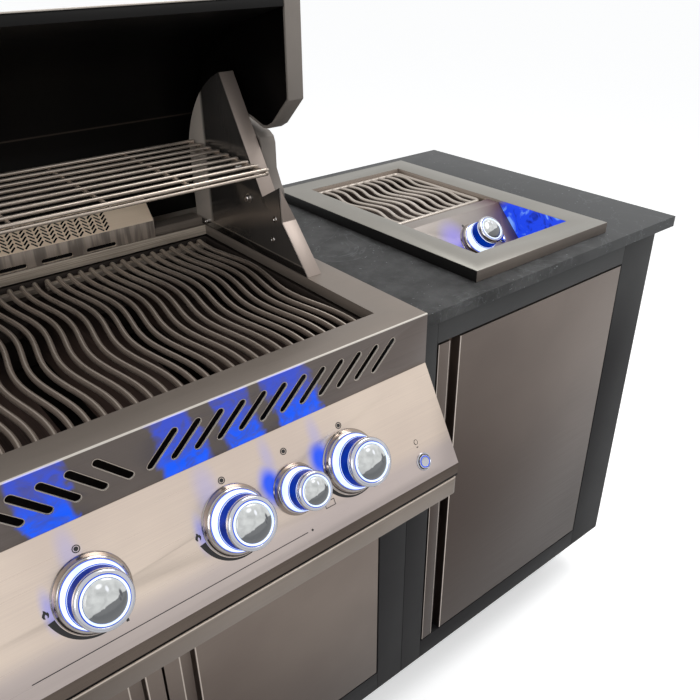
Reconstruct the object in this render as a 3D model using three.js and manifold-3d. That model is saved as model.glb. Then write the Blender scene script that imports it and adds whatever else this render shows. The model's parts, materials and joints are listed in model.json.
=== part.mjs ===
// Outdoor kitchen island: a two-module cabinet under a stone counter, with a built-in gas grill head,
// its hood rolled open, and a drop-in side burner.
// Millimetres, +X to the right, +Y to the back, +Z up, floor at z = 0.
import * as THREE from 'three';
import { mergeVertices } from 'three/addons/utils/BufferGeometryUtils.js';
import Module from 'manifold-3d';

const wasm = await Module();
wasm.setup();

// Driving dimensions

const GAP = 0.3;                 // air kept between pieces that touch
const SHEET = 2;                 // gauge of the stainless sheet

const COUNTER = { length: 1593, depth: 650, thickness: 20, top: 914, overhang: 22 };
const BASE = { bottom: 131, wall: 2.5, stileDepth: 25, panel: 2.5, railHeight: 46 };
const GRILL_CABINET = { width: 909.6, stile: 60, doorTop: 648.5, railTop: 673, railBottom: 652 };
const SIDE_CABINET = { width: 638.8, leftStile: 50, rightStile: 99.5, doorTop: 838.4 };
const DOOR = {
  bottom: 180.6, depth: 22, reveal: 3.5,
  edgeStrip: 25, channelWidth: 22, channelDepth: 18,
  pivotInset: 7, pinRadius: 4, pinHoleRadius: 4.6, pinLength: 9,
};
const PLINTH = {
  halfLength: 700, front: 100, back: 560, beam: 40, low: 30, wall: 3,
  padRadius: 25, padHeight: 8, stemRadius: 8,
};

// Grill head, seen from the middle of the head and the counter's top face
const HEAD = {
  halfWidth: 427.8, front: -30, rear: 533, top: 25, faceBottom: -52,
  openHalf: 372.2, openFront: 16.5, openRear: 475, lip: 15,
};
const VENT = { perSide: 12, first: 12, pitch: 29.1, run: 32, low: -27.7, high: 4.4, radius: 4.6 };
const PANEL = {
  length: 151.2, tilt: THREE.MathUtils.degToRad(29.9), lip: 21.8, topReturn: 15, knobDrop: 78,
};
const KNOB_X = [-259.8, -86.6, 86.6, 259.8];
const SMALL_KNOB_X = 173.8;
const SMALL_KNOB_SCALE = 0.76;
const LIGHT_BUTTON = { x: 370.7, drop: 125.5, radius: 9.4, flange: 13, hole: 10.4 };
const FIREBOX = {
  half: 368.5, front: 20, back: 471, top: 7, shoulder: -120, floor: -188, slotFront: 205, slotBack: 285,
  wall: 2.5, ledge: 3, gridLedge: 30, searLedge: 20,
  hang: { half: 421, front: 2, back: 529, thick: 2.5 },
  runner: { near: 60, far: 430, foot: 330, web: 371, thick: 2.5, top: -70 },
};
const BURNER = { z: -98, neck: 12, body: 18, neckHole: 13.4, front: -5, back: 452, neckEnd: 26, flare: 50 };
const SEAR = { halfWidth: 62, apex: -46, foot: -70 };
const GRID = {
  rodRadius: 4, rodZ: 5, front: 24, back: 465, amplitude: 7.5, wavelength: 241, crest: 62,
  barBottom: -7.3, barWidth: 10, barAt: [41, 455],
};
const DRIP = {
  half: 343, back: 430, bottom: -240.2, rim: -213,
  faceFront: -107, faceTop: -208, faceBottom: -235, faceThick: 11,
};
const PIVOT = { y: 320, z: 112, bolt: 6, boltEnd: 420, bore: 6.7, head: 9 };
const HOOD_SIDE = { inner: 372.6, flange: 26, sweep: 191 };
const RACK = {
  z: 174, first: 250, pitch: 28, rods: 9, rodRadius: 2.8, half: 367, barRadius: 3.4, weld: 1.2,
  ties: [-244, -122, 0, 122, 244], tieRadius: 2.2, pegs: [332, 460], pegRadius: 3,
};
const LID = {
  open: THREE.MathUtils.degToRad(90), half: 427.5, capInner: 400.5, capRim: 4, capPlate: 2.5,
  lobe: 31, boss: 14,
};
const HANDLE = { y: -341, z: -22.5, radius: 12.5, half: 345, postX: 300, postRadius: 9, postLength: 57.5 };

// Drop-in side burner, seen from the middle of its trim and the counter's top face
const BURNER_TRIM = { x: 447.2, half: 171, front: 32.9, rear: 577.5, top: 19.7 };
const BOWL = { left: -117, right: 121, front: 84, back: 533, floor: -87.5, wall: 2.5, ledge: 3 };
const BURNER_BOX = { left: -92, right: 96, front: 305, back: 505, top: -42, corner: 14 };
const PLATE = { top: 15, bend: 243, rear: 271, slope: THREE.MathUtils.degToRad(45), foot: -85 };
const SIDE_KNOB = { x: 15.4, drop: 59.6, scale: 0.84 };
const SIDE_BUTTON = { x: 79, drop: 70, radius: 6.5, flange: 9.5, hole: 7.3 };
const SIDE_GRID = {
  rods: 12, pitch: 17.4, amplitude: 5.5, wavelength: 190, rodRadius: 3.4,
  half: 115, front: 282, back: 531, z: 9, wire: 8, corner: 14,
};

// Finishes

const FINISH = {
  stone: { color: 0x46494b, roughness: 0.62, metalness: 0 },
  frame: { color: 0x3a3b3d, roughness: 0.55, metalness: 0.3 },
  stainless: { color: 0xa79f96, roughness: 0.32, metalness: 1 },
  trim: { color: 0x969691, roughness: 0.38, metalness: 1 },
  grid: { color: 0x8d837b, roughness: 0.3, metalness: 1 },
  firebox: { color: 0x2b2725, roughness: 0.6, metalness: 0.6 },
  chrome: { color: 0xd5d5d7, roughness: 0.12, metalness: 1 },
  knob: { color: 0x1a2a78, roughness: 0.2, metalness: 0.4 },
  cast: { color: 0x6f6e6d, roughness: 0.5, metalness: 0.6 },
  lining: { color: 0x0b0b0b, roughness: 0.5, metalness: 0.2 },
  brass: { color: 0xa58a4c, roughness: 0.35, metalness: 1 },
  plinth: { color: 0x232426, roughness: 0.6, metalness: 0.3 },
};

// Solids

// A closed geometry as a solid that can be joined and cut.
function solid(geometry) {
  const bare = geometry.clone();
  bare.deleteAttribute('normal');
  bare.deleteAttribute('uv');
  const merged = mergeVertices(bare, 1e-4);
  const vertProperties = new Float32Array(merged.attributes.position.array);
  const triVerts = new Uint32Array(merged.index.array);
  return new wasm.Manifold(new wasm.Mesh({ numProp: 3, vertProperties, triVerts }));
}

function geometryOf(body) {
  const mesh = body.getMesh();
  const geometry = new THREE.BufferGeometry();
  geometry.setAttribute('position', new THREE.BufferAttribute(new Float32Array(mesh.vertProperties), 3));
  geometry.setIndex(new THREE.BufferAttribute(new Uint32Array(mesh.triVerts), 1));
  return geometry;
}

function join(...bodies) {
  return bodies.reduce((whole, body) => whole.add(body));
}

function box(x0, x1, y0, y1, z0, z1) {
  const geometry = new THREE.BoxGeometry(Math.abs(x1 - x0), Math.abs(y1 - y0), Math.abs(z1 - z0));
  return solid(geometry.translate((x0 + x1) / 2, (y0 + y1) / 2, (z0 + z1) / 2));
}

// An outline pushed along an axis: (y, z) along x, (x, z) along y, (x, y) along z.
function extrude(shape, axis, start, end, curveSegments = 6) {
  const low = Math.min(start, end);
  const high = Math.max(start, end);
  const options = { depth: high - low, bevelEnabled: false, curveSegments };
  const geometry = new THREE.ExtrudeGeometry(shape, options);
  const place = new THREE.Matrix4();
  const X = new THREE.Vector3(1, 0, 0);
  const Y = new THREE.Vector3(0, 1, 0);
  const Z = new THREE.Vector3(0, 0, 1);
  if (axis === 'x') place.makeBasis(Y, Z, X).setPosition(low, 0, 0);
  if (axis === 'y') place.makeBasis(X, Z, Y.clone().negate()).setPosition(0, high, 0);
  if (axis === 'z') place.setPosition(0, 0, low);
  return solid(geometry.applyMatrix4(place));
}

function outline(points) {
  return new THREE.Shape(points.map(([u, v]) => new THREE.Vector2(u, v)));
}

function rounded(u0, u1, v0, v1, r) {
  const shape = new THREE.Shape();
  shape.absarc(u1 - r, v1 - r, r, 0, Math.PI / 2);
  shape.absarc(u0 + r, v1 - r, r, Math.PI / 2, Math.PI);
  shape.absarc(u0 + r, v0 + r, r, Math.PI, Math.PI * 1.5);
  shape.absarc(u1 - r, v0 + r, r, Math.PI * 1.5, Math.PI * 2);
  shape.closePath();
  return shape;
}

// A slot with round ends between two end centres.
function obround(u0, v0, u1, v1, r) {
  const turn = Math.atan2(v1 - v0, u1 - u0);
  const shape = new THREE.Shape();
  shape.absarc(u1, v1, r, turn - Math.PI / 2, turn + Math.PI / 2);
  shape.absarc(u0, v0, r, turn + Math.PI / 2, turn + Math.PI * 1.5);
  shape.closePath();
  return shape;
}

function arc(u, v, r, from, to, steps) {
  const points = [];
  for (let i = 0; i <= steps; i += 1) {
    const turn = THREE.MathUtils.degToRad(from + ((to - from) * i) / steps);
    points.push([u + r * Math.cos(turn), v + r * Math.sin(turn)]);
  }
  return points;
}

// A line moved to its left by d, its corners mitred. A closed line is moved all round.
function offset(points, d, closed = false) {
  const count = points.length;
  const direction = (i, j) => {
    const [a, b] = [points[(i + count) % count], points[(j + count) % count]];
    return new THREE.Vector2(b[0] - a[0], b[1] - a[1]).normalize();
  };
  return points.map(([u, v], i) => {
    const isFirst = !closed && i === 0;
    const isLast = !closed && i === count - 1;
    const before = isFirst ? direction(0, 1) : direction(i - 1, i);
    const after = isLast ? before : direction(i, i + 1);
    const left = new THREE.Vector2(-before.y, before.x);
    const mitre = left.clone().add(new THREE.Vector2(-after.y, after.x)).normalize();
    const reach = d / mitre.dot(left);
    return [u + mitre.x * reach, v + mitre.y * reach];
  });
}

// The section of a bent sheet: its face follows the points and its gauge lies to their left.
function bentSheet(points, gauge) {
  return outline([...points, ...offset(points, gauge).reverse()]);
}

// A round bar between two points.
function bar(from, to, radius, sides = 12) {
  const start = new THREE.Vector3(...from);
  const end = new THREE.Vector3(...to);
  const axis = end.clone().sub(start);
  const geometry = new THREE.CylinderGeometry(radius, radius, axis.length(), sides);
  const turn = new THREE.Quaternion().setFromUnitVectors(new THREE.Vector3(0, 1, 0), axis.normalize());
  geometry.applyQuaternion(turn);
  const middle = start.add(end).multiplyScalar(0.5);
  return solid(geometry.translate(middle.x, middle.y, middle.z));
}

// A turned piece: (radius, height) points round the local +Z axis.
function turned(profile, segments = 18) {
  const points = profile.map(([r, h]) => new THREE.Vector2(r, h));
  return solid(new THREE.LatheGeometry(points, segments).rotateX(Math.PI / 2));
}

function add(group, name, body, finish) {
  const geometry = body.isBufferGeometry ? body : geometryOf(body);
  const mesh = new THREE.Mesh(geometry, new THREE.MeshStandardMaterial(FINISH[finish]));
  mesh.name = name;
  group.add(mesh);
  return mesh;
}

const island = new THREE.Group();

// Cabinets

const COUNTER_UNDERSIDE = COUNTER.top - COUNTER.thickness - GAP;
const CABINET_LEFT = -COUNTER.length / 2 + COUNTER.overhang;
const CABINET_RIGHT = COUNTER.length / 2 - COUNTER.overhang;
const CABINET_FRONT = COUNTER.overhang;
const CABINET_BACK = COUNTER.depth - COUNTER.overhang;
const GRILL_RIGHT = CABINET_LEFT + GRILL_CABINET.width;
const SIDE_LEFT = CABINET_RIGHT - SIDE_CABINET.width;
const GRILL_X = (CABINET_LEFT + GRILL_RIGHT) / 2;

// A side wall, its front stile and the stile's return, folded from one sheet. `out` is -1 for a left wall
// and +1 for a right one.
function cabinetSide(name, outerX, out, stile) {
  const stileX = outerX - out * stile;
  const stileBack = CABINET_FRONT + BASE.stileDepth;
  const face = [
    [outerX, CABINET_BACK], [outerX, CABINET_FRONT], [stileX, CABINET_FRONT], [stileX, stileBack],
  ];
  const sheet = bentSheet(face, -out * BASE.wall);
  add(island, name, extrude(sheet, 'z', BASE.bottom, COUNTER_UNDERSIDE), 'frame');
}

// A cross rail between two stiles: a channel open to the back, with a hinge pin on each hinge line given.
function rail(name, left, right, low, high, pins, pinSide) {
  const front = CABINET_FRONT;
  const back = front + BASE.stileDepth;
  const channel = bentSheet([[back, high], [front, high], [front, low], [back, low]], BASE.wall);
  let body = extrude(channel, 'x', left + GAP, right - GAP);
  for (const x of pins) {
    const y = front + DOOR.pivotInset;
    const root = pinSide > 0 ? high - 1 : low + 1;
    const tip = pinSide > 0 ? high + DOOR.pinLength : low - DOOR.pinLength;
    body = body.add(bar([x, y, root], [x, y, tip], DOOR.pinRadius, 8));
  }
  add(island, name, body, 'frame');
}

// A folded sheet door, flush with its frame, with a finger channel beside its free edge.
// `out` points from the free edge to the hinge edge.
function door(name, hingeX, freeX, top, out) {
  const front = CABINET_FRONT;
  const back = front + DOOR.depth;
  const strip = freeX + out * DOOR.edgeStrip;
  const panel = strip + out * DOOR.channelWidth;
  const groove = front + DOOR.channelDepth;
  const face = [
    [freeX, back], [freeX, front], [strip, front], [strip, groove],
    [panel, groove], [panel, front], [hingeX, front], [hingeX, back],
  ];
  const skin = extrude(bentSheet(face, out * SHEET), 'z', DOOR.bottom, top);
  const plate = outline(face);
  const lowPlate = extrude(plate, 'z', DOOR.bottom, DOOR.bottom + SHEET);
  const topPlate = extrude(plate, 'z', top - SHEET, top);
  const x = hingeX - out * DOOR.pivotInset;
  const y = front + DOOR.pivotInset;
  const bore = bar([x, y, DOOR.bottom - 1], [x, y, top + 1], DOOR.pinHoleRadius, 8);
  add(island, name, join(skin, lowPlate, topPlate).subtract(bore), 'stainless');
}

function hingeLine(hingeX, out) {
  return hingeX - out * DOOR.pivotInset;
}

const stileFace = {
  grillLeft: CABINET_LEFT + GRILL_CABINET.stile,
  grillRight: GRILL_RIGHT - GRILL_CABINET.stile,
  sideLeft: SIDE_LEFT + SIDE_CABINET.leftStile,
  sideRight: CABINET_RIGHT - SIDE_CABINET.rightStile,
};
const doorEdge = {
  grillLeft: stileFace.grillLeft + DOOR.reveal,
  grillMiddleLeft: GRILL_X - DOOR.reveal / 2,
  grillMiddleRight: GRILL_X + DOOR.reveal / 2,
  grillRight: stileFace.grillRight - DOOR.reveal,
  sideFree: stileFace.sideLeft + DOOR.reveal,
  sideHinge: stileFace.sideRight - DOOR.reveal,
};
const grillHinges = [hingeLine(doorEdge.grillLeft, -1), hingeLine(doorEdge.grillRight, 1)];
const sideHinges = [hingeLine(doorEdge.sideHinge, 1)];

cabinetSide('grill_cabinet_left_side', CABINET_LEFT, -1, GRILL_CABINET.stile);
cabinetSide('grill_cabinet_right_side', GRILL_RIGHT, 1, GRILL_CABINET.stile);
cabinetSide('side_cabinet_left_side', SIDE_LEFT, -1, SIDE_CABINET.leftStile);
cabinetSide('side_cabinet_right_side', CABINET_RIGHT, 1, SIDE_CABINET.rightStile);

const railBottomHigh = BASE.bottom + BASE.railHeight;
rail('grill_cabinet_bottom_rail', stileFace.grillLeft, stileFace.grillRight,
  BASE.bottom, railBottomHigh, grillHinges, 1);
rail('side_cabinet_bottom_rail', stileFace.sideLeft, stileFace.sideRight,
  BASE.bottom, railBottomHigh, sideHinges, 1);
rail('grill_cabinet_top_rail', stileFace.grillLeft, stileFace.grillRight,
  GRILL_CABINET.railBottom, GRILL_CABINET.railTop, grillHinges, -1);
rail('side_cabinet_top_rail', stileFace.sideLeft, stileFace.sideRight,
  SIDE_CABINET.doorTop + DOOR.reveal, COUNTER_UNDERSIDE, sideHinges, -1);

door('grill_door_left', doorEdge.grillLeft, doorEdge.grillMiddleLeft, GRILL_CABINET.doorTop, -1);
door('grill_door_right', doorEdge.grillRight, doorEdge.grillMiddleRight, GRILL_CABINET.doorTop, 1);
door('side_door', doorEdge.sideHinge, doorEdge.sideFree, SIDE_CABINET.doorTop, 1);

// Back panel and floor, fitted between a module's side walls.
function carcass(prefix, left, right) {
  const x0 = left + BASE.wall + GAP;
  const x1 = right - BASE.wall - GAP;
  const backFace = CABINET_BACK - BASE.panel;
  const floorTop = BASE.bottom + BASE.panel;
  const floorFront = CABINET_FRONT + BASE.stileDepth + GAP;
  const back = box(x0, x1, backFace, CABINET_BACK, floorTop + GAP, COUNTER_UNDERSIDE);
  add(island, `${prefix}_back`, back, 'frame');
  const floor = box(x0, x1, floorFront, CABINET_BACK, BASE.bottom, floorTop);
  add(island, `${prefix}_floor`, floor, 'frame');
}

carcass('grill_cabinet', CABINET_LEFT, GRILL_RIGHT);
carcass('side_cabinet', SIDE_LEFT, CABINET_RIGHT);

// Recessed plinth: an inverted channel bent round into a ring, on six levelling feet.
function plinth() {
  const { halfLength, front, back, beam, low, wall, padRadius, padHeight, stemRadius } = PLINTH;
  const top = BASE.bottom - GAP;
  const frameBox = (inset, z0, z1) => box(
    -halfLength + inset, halfLength - inset, front + inset, back - inset, z0, z1,
  );
  const ring = (inset, z0, z1) => frameBox(inset, z0, z1).subtract(frameBox(beam - inset, z0 - 1, z1 + 1));
  let body = ring(0, low, top).subtract(ring(wall, low - 1, top - wall));
  for (const x of [-halfLength + beam / 2, 0, halfLength - beam / 2]) {
    for (const y of [front + beam / 2, back - beam / 2]) {
      body = body.add(bar([x, y, 0], [x, y, padHeight], padRadius, 10));
      body = body.add(bar([x, y, padHeight - 1], [x, y, top - wall + 1], stemRadius, 6));
    }
  }
  add(island, 'plinth', body, 'plinth');
}

plinth();

// Counter slab: open at the front for the head, with a closed cut-out for the side burner.
const CUTOUT = { headHalf: 405, headBack: 545, burnerMargin: 9 };

function counterTop() {
  const half = COUNTER.length / 2;
  const low = COUNTER.top - COUNTER.thickness;
  const slab = box(-half, half, 0, COUNTER.depth, low, COUNTER.top);
  const cutter = (x0, x1, y0, y1) => box(x0, x1, y0, y1, low - 1, COUNTER.top + 1);
  const headCut = cutter(GRILL_X - CUTOUT.headHalf, GRILL_X + CUTOUT.headHalf, -1, CUTOUT.headBack);
  const margin = BOWL.wall + CUTOUT.burnerMargin;
  const bowlLeft = BURNER_TRIM.x + BOWL.left;
  const bowlRight = BURNER_TRIM.x + BOWL.right;
  const burnerCut = cutter(bowlLeft - margin, bowlRight + margin, BOWL.front - margin, BOWL.back + margin);
  add(island, 'counter_top', slab.subtract(headCut).subtract(burnerCut), 'stone');
}

counterTop();

// Grill head

const head = new THREE.Group();
head.position.set(GRILL_X, 0, COUNTER.top);
island.add(head);

// Trim frame: a raised flange round the cooking opening, skirts that stand on the counter and a front face
// that hangs over its edge, cut by two mirrored groups of slanted vent slots.
function headTrim() {
  const { halfWidth, front, rear, top, faceBottom, openHalf, openFront, openRear, lip } = HEAD;
  const shell = box(-halfWidth, halfWidth, front, rear, faceBottom, top);
  const counter = box(-halfWidth - 1, halfWidth + 1, -GAP, rear + 1, faceBottom - 1, GAP);
  const under = top - SHEET;
  const within = halfWidth - SHEET;
  const pocket = box(-within, within, front + SHEET, rear - SHEET, faceBottom - 1, under);
  const lipHalf = openHalf + SHEET;
  const lips = box(-lipHalf, lipHalf, openFront - SHEET, openRear + SHEET, under - lip, top);
  const opening = box(-openHalf, openHalf, openFront, openRear, faceBottom, top + 1);
  let body = shell.subtract(counter).subtract(pocket.subtract(lips)).subtract(opening);
  for (const side of [-1, 1]) {
    for (let i = 0; i < VENT.perSide; i += 1) {
      const x = VENT.first + i * VENT.pitch;
      const slot = obround(side * x, VENT.low, side * (x + VENT.run), VENT.high, VENT.radius);
      body = body.subtract(extrude(slot, 'y', front - 1, front + SHEET + 1, 2));
    }
  }
  add(head, 'head_trim', body, 'trim');
}

headTrim();

// Everything on the sloping control panel is placed in the panel's own frame: local +Y runs up the panel
// from its top edge, local +Z stands off its face.
const panelFrame = new THREE.Group();
const PANEL_TOP = HEAD.faceBottom - GAP;
panelFrame.position.set(0, HEAD.front, PANEL_TOP);
panelFrame.rotation.x = Math.PI / 2 - PANEL.tilt;
head.add(panelFrame);

// A cut tool in the head's frame, square to the panel face at (x, drop).
function panelBore(x, drop, radius, sides) {
  const along = new THREE.Vector3(0, -Math.sin(PANEL.tilt), -Math.cos(PANEL.tilt));
  const out = new THREE.Vector3(0, -Math.cos(PANEL.tilt), Math.sin(PANEL.tilt));
  const at = new THREE.Vector3(x, HEAD.front, PANEL_TOP).addScaledVector(along, drop);
  const reach = 6;
  const from = at.clone().addScaledVector(out, -reach).toArray();
  const to = at.clone().addScaledVector(out, reach).toArray();
  return bar(from, to, radius, sides);
}

const STEM_HOLE = 8.5;

function controlPanel() {
  const lowY = HEAD.front - PANEL.length * Math.sin(PANEL.tilt);
  const lowZ = PANEL_TOP - PANEL.length * Math.cos(PANEL.tilt);
  const lipZ = lowZ - PANEL.lip;
  const face = [
    [HEAD.front + PANEL.topReturn, PANEL_TOP], [HEAD.front, PANEL_TOP], [lowY, lowZ],
    [lowY, lipZ], [lowY + PANEL.topReturn, lipZ],
  ];
  const cheek = outline([
    [HEAD.front, PANEL_TOP], [lowY, lowZ], [lowY, lipZ],
    [CABINET_FRONT - GAP, lipZ], [CABINET_FRONT - GAP, PANEL_TOP],
  ]);
  const w = HEAD.halfWidth;
  let body = join(
    extrude(bentSheet(face, SHEET), 'x', -w, w),
    extrude(cheek, 'x', -w, -w + SHEET),
    extrude(cheek, 'x', w - SHEET, w),
  );
  for (const x of [...KNOB_X, SMALL_KNOB_X]) {
    body = body.subtract(panelBore(x, PANEL.knobDrop, STEM_HOLE, 8));
  }
  body = body.subtract(panelBore(LIGHT_BUTTON.x, LIGHT_BUTTON.drop, LIGHT_BUTTON.hole, 12));
  add(head, 'control_panel', body, 'stainless');
}

controlPanel();

// Bezel: a chrome skirt with the light ring on top. Heights stand off the panel.
function bezelProfile(k) {
  return [
    [29 * k, GAP], [42.5 * k, GAP], [38.5 * k, 10], [36 * k, 11],
    [33 * k, 24], [29 * k, 24], [29 * k, GAP],
  ];
}

// Knob: a stem, a slightly tapered coloured band, a rolled rim and a domed face.
function knobProfile(k) {
  return [
    [0, -20], [6, -20], [6, 24.8], [31.3 * k, 24.8], [29.6 * k, 40],
    [30.5 * k, 44], [29.6 * k, 49], [24 * k, 49.2], [13 * k, 52.4], [0, 53.4],
  ];
}

function bezelAndKnob(frame, bezelName, knobName, x, drop, k) {
  const bezel = add(frame, bezelName, turned(bezelProfile(k), 12), 'chrome');
  bezel.position.set(x, -drop, 0);
  const knob = add(frame, knobName, turned(knobProfile(k), 12), 'knob');
  knob.position.set(x, -drop, 0);
}

KNOB_X.forEach((x, i) => {
  bezelAndKnob(panelFrame, `knob_bezel_${i + 1}`, `burner_knob_${i + 1}`, x, PANEL.knobDrop, 1);
});
const smallKnob = ['knob_bezel_small', 'rear_burner_knob', SMALL_KNOB_X, PANEL.knobDrop, SMALL_KNOB_SCALE];
bezelAndKnob(panelFrame, ...smallKnob);

// A push button held behind its plate by a flange, with room to travel inwards.
function pushButton(frame, name, spec) {
  const { x, drop, radius, flange } = spec;
  const profile = [
    [0, -8], [flange, -8], [flange, -5.5], [radius, -5.5], [radius, 2.8], [radius - 1.2, 3.8], [0, 3.8],
  ];
  const button = add(frame, name, turned(profile, 12), 'chrome');
  button.position.set(x, -drop, 0);
}

pushButton(panelFrame, 'light_button', LIGHT_BUTTON);

// Gas manifold: one pipe behind the panel with a valve body on each stem's line.
function gasManifold() {
  const pipeDepth = -58;
  const pipeHalf = HEAD.halfWidth - SHEET - GAP;
  const y = -PANEL.knobDrop;
  let body = bar([-pipeHalf, y, pipeDepth], [pipeHalf, y, pipeDepth], 12, 8);
  for (const x of [...KNOB_X, SMALL_KNOB_X]) {
    body = body.add(bar([x, y, pipeDepth], [x, y, -22], 10.5, 8));
  }
  add(panelFrame, 'gas_manifold', body, 'brass');
}

gasManifold();

// Firebox: a folded tub with a valley floor that drains through a slot, a hanging flange on the counter,
// ledges for the grids and sear plates, and the drip tray's runners.
function firebox() {
  const f = FIREBOX;
  const inner = f.half - f.wall;
  const frontHalf = [[f.front, f.top], [f.front, f.shoulder], [f.slotFront, f.floor]];
  const backHalf = [[f.slotBack, f.floor], [f.back, f.shoulder], [f.back, f.top]];
  const end = outline([...frontHalf, ...backHalf]);
  const { hang, runner } = f;
  const flange = box(-hang.half, hang.half, hang.front, hang.back, GAP, GAP + hang.thick)
    .subtract(box(-inner, inner, f.front + f.wall, f.back - f.wall, -1, GAP + hang.thick + 1));
  const ledge = (y, reach, high) => box(-inner - 1, inner + 1, y, y + reach, high - f.ledge, high);
  const front = f.front + 1;
  const back = f.back - 1;
  const gridLedge = GRID.barBottom - GAP;
  const searLedge = SEAR.foot - GAP;
  const burnerLedge = BURNER.z - BURNER.body - GAP;
  let body = join(
    extrude(bentSheet(frontHalf, f.wall), 'x', -f.half, f.half),
    extrude(bentSheet(backHalf, f.wall), 'x', -f.half, f.half),
    extrude(end, 'x', -f.half, -inner),
    extrude(end, 'x', inner, f.half),
    flange,
    ledge(front, f.gridLedge, gridLedge),
    ledge(back, -f.gridLedge, gridLedge),
    ledge(front, f.searLedge, searLedge),
    ledge(back, -f.searLedge, searLedge),
    ledge(back, -f.gridLedge, burnerLedge),
  );
  const runnerTop = DRIP.bottom - GAP;
  const runnerLow = runnerTop - runner.thick;
  for (const side of [-1, 1]) {
    const strip = (x0, x1, top) => box(side * x0, side * x1, runner.near, runner.far, runnerLow, top);
    const web = strip(f.half - 1, runner.web, runner.top);
    const foot = strip(runner.foot, runner.web, runnerTop);
    body = body.add(web).add(foot);
  }
  for (const x of KNOB_X) {
    body = body.subtract(bar([x, 0, BURNER.z], [x, f.front + f.wall + 1, BURNER.z], BURNER.neckHole, 8));
  }
  add(head, 'firebox', body, 'firebox');
}

firebox();

// Tube burner with a narrow venturi neck, and the folded sear plate that shields it.
function burnerAndSear(x, i) {
  const b = BURNER;
  const length = b.back - b.front;
  const profile = [
    [0, 0], [b.neck, 0], [b.neck, b.neckEnd - b.front], [b.body, b.flare - b.front],
    [b.body, length - 4], [b.body - 4, length], [0, length],
  ];
  const tube = add(head, `tube_burner_${i + 1}`, turned(profile, 8), 'grid');
  tube.rotation.x = -Math.PI / 2;
  tube.position.set(x, b.front, b.z);
  const section = [[x - SEAR.halfWidth, SEAR.foot], [x, SEAR.apex], [x + SEAR.halfWidth, SEAR.foot]];
  const plateBody = extrude(bentSheet(section, SHEET), 'y', FIREBOX.front + 4, FIREBOX.back - 4);
  add(head, `sear_plate_${i + 1}`, plateBody, 'grid');
}

KNOB_X.forEach(burnerAndSear);

// Cooking grids

// A rod that waves sideways on its way from front to back.
class WaveLine extends THREE.Curve {
  constructor(x, y0, y1, z, wave) {
    super();
    Object.assign(this, { x, y0, y1, z, wave });
  }

  getPoint(t, target = new THREE.Vector3()) {
    const y = this.y0 + (this.y1 - this.y0) * t;
    return target.set(this.x + sideways(y, this.wave), y, this.z);
  }
}

function sideways(y, wave) {
  return wave.amplitude * Math.cos((2 * Math.PI * (y - wave.crest)) / wave.wavelength);
}

function waveRod(x, y0, y1, z, radius, wave, steps, sides = 4) {
  const ring = [];
  for (let i = 0; i < sides; i += 1) {
    const turn = (2 * Math.PI * (i + 0.5)) / sides;
    ring.push([radius * Math.cos(turn), radius * Math.sin(turn)]);
  }
  const path = new WaveLine(x, y0, y1, z, wave);
  return solid(new THREE.ExtrudeGeometry(outline(ring), { steps, bevelEnabled: false, extrudePath: path }));
}

// One grid: parallel waved rods on two flat cross bars that follow the rods' sideways shift.
function cookingGrid(name, xs) {
  const g = GRID;
  const rods = xs.map((x) => waveRod(x, g.front, g.back, g.rodZ, g.rodRadius, g, 9));
  const barTop = g.rodZ - g.rodRadius + 1.2;
  const bars = g.barAt.map((y) => {
    const shift = sideways(y, g);
    const x0 = xs[0] + shift - g.rodRadius;
    const x1 = xs[xs.length - 1] + shift + g.rodRadius;
    return box(x0, x1, y - g.barWidth / 2, y + g.barWidth / 2, g.barBottom, barTop);
  });
  add(head, name, join(...bars, ...rods), 'grid');
}

function spread(first, last, count) {
  return Array.from({ length: count }, (_, i) => first + ((last - first) * i) / (count - 1));
}

const SIDE_RODS = { near: 86, far: 353.5, count: 16 };
const CENTRE_RODS = { far: 66.5, count: 8 };
cookingGrid('cooking_grid_left', spread(-SIDE_RODS.far, -SIDE_RODS.near, SIDE_RODS.count));
cookingGrid('cooking_grid_centre', spread(-CENTRE_RODS.far, CENTRE_RODS.far, CENTRE_RODS.count));
cookingGrid('cooking_grid_right', spread(SIDE_RODS.near, SIDE_RODS.far, SIDE_RODS.count));

// Hood sides: a fixed sheet each side whose front edge slants back in two steps with turned-out flanges,
// and whose rear edge follows the hood's sweep. The pivot bolt and two rack pegs are fixed in it.
function hoodSide(name, side) {
  const { inner, flange, sweep } = HOOD_SIDE;
  const foot = HEAD.top + GAP;
  const rearArc = arc(PIVOT.y, PIVOT.z, sweep, 71, 17.6, 8);
  const rearFoot = [rearArc[rearArc.length - 1][0], foot];
  const lowFlange = [[169.5, foot], [231, 95], [233, 106]];
  const highFlange = [[272, 108], rearArc[0]];
  const sheet = outline([...lowFlange, ...highFlange, ...rearArc.slice(1), rearFoot]);
  const along = (from, to) => [side * from, side * to];
  const boltY = PIVOT.y;
  const boltZ = PIVOT.z;
  let body = join(
    extrude(sheet, 'x', ...along(inner, inner + SHEET)),
    extrude(bentSheet(lowFlange, -SHEET), 'x', ...along(inner, inner + flange)),
    extrude(bentSheet(highFlange, -SHEET), 'x', ...along(inner, inner + flange)),
    bar([side * (inner - 4), boltY, boltZ], [side * (inner + 1), boltY, boltZ], PIVOT.head),
    bar([side * inner, boltY, boltZ], [side * PIVOT.boltEnd, boltY, boltZ], PIVOT.bolt, 12),
  );
  const pegZ = RACK.z - RACK.rodRadius - RACK.barRadius * 2 + RACK.weld - GAP - RACK.pegRadius;
  for (const y of RACK.pegs) {
    body = body.add(bar([side * (inner - 14), y, pegZ], [side * (inner + 1), y, pegZ], RACK.pegRadius, 8));
  }
  const belowFoot = box(...along(inner - 1, inner + flange + 1), lowFlange[0][0] - 9, PIVOT.y, 0, foot);
  add(head, name, body.subtract(belowFoot), 'stainless');
}

hoodSide('hood_side_left', -1);
hoodSide('hood_side_right', 1);

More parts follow.
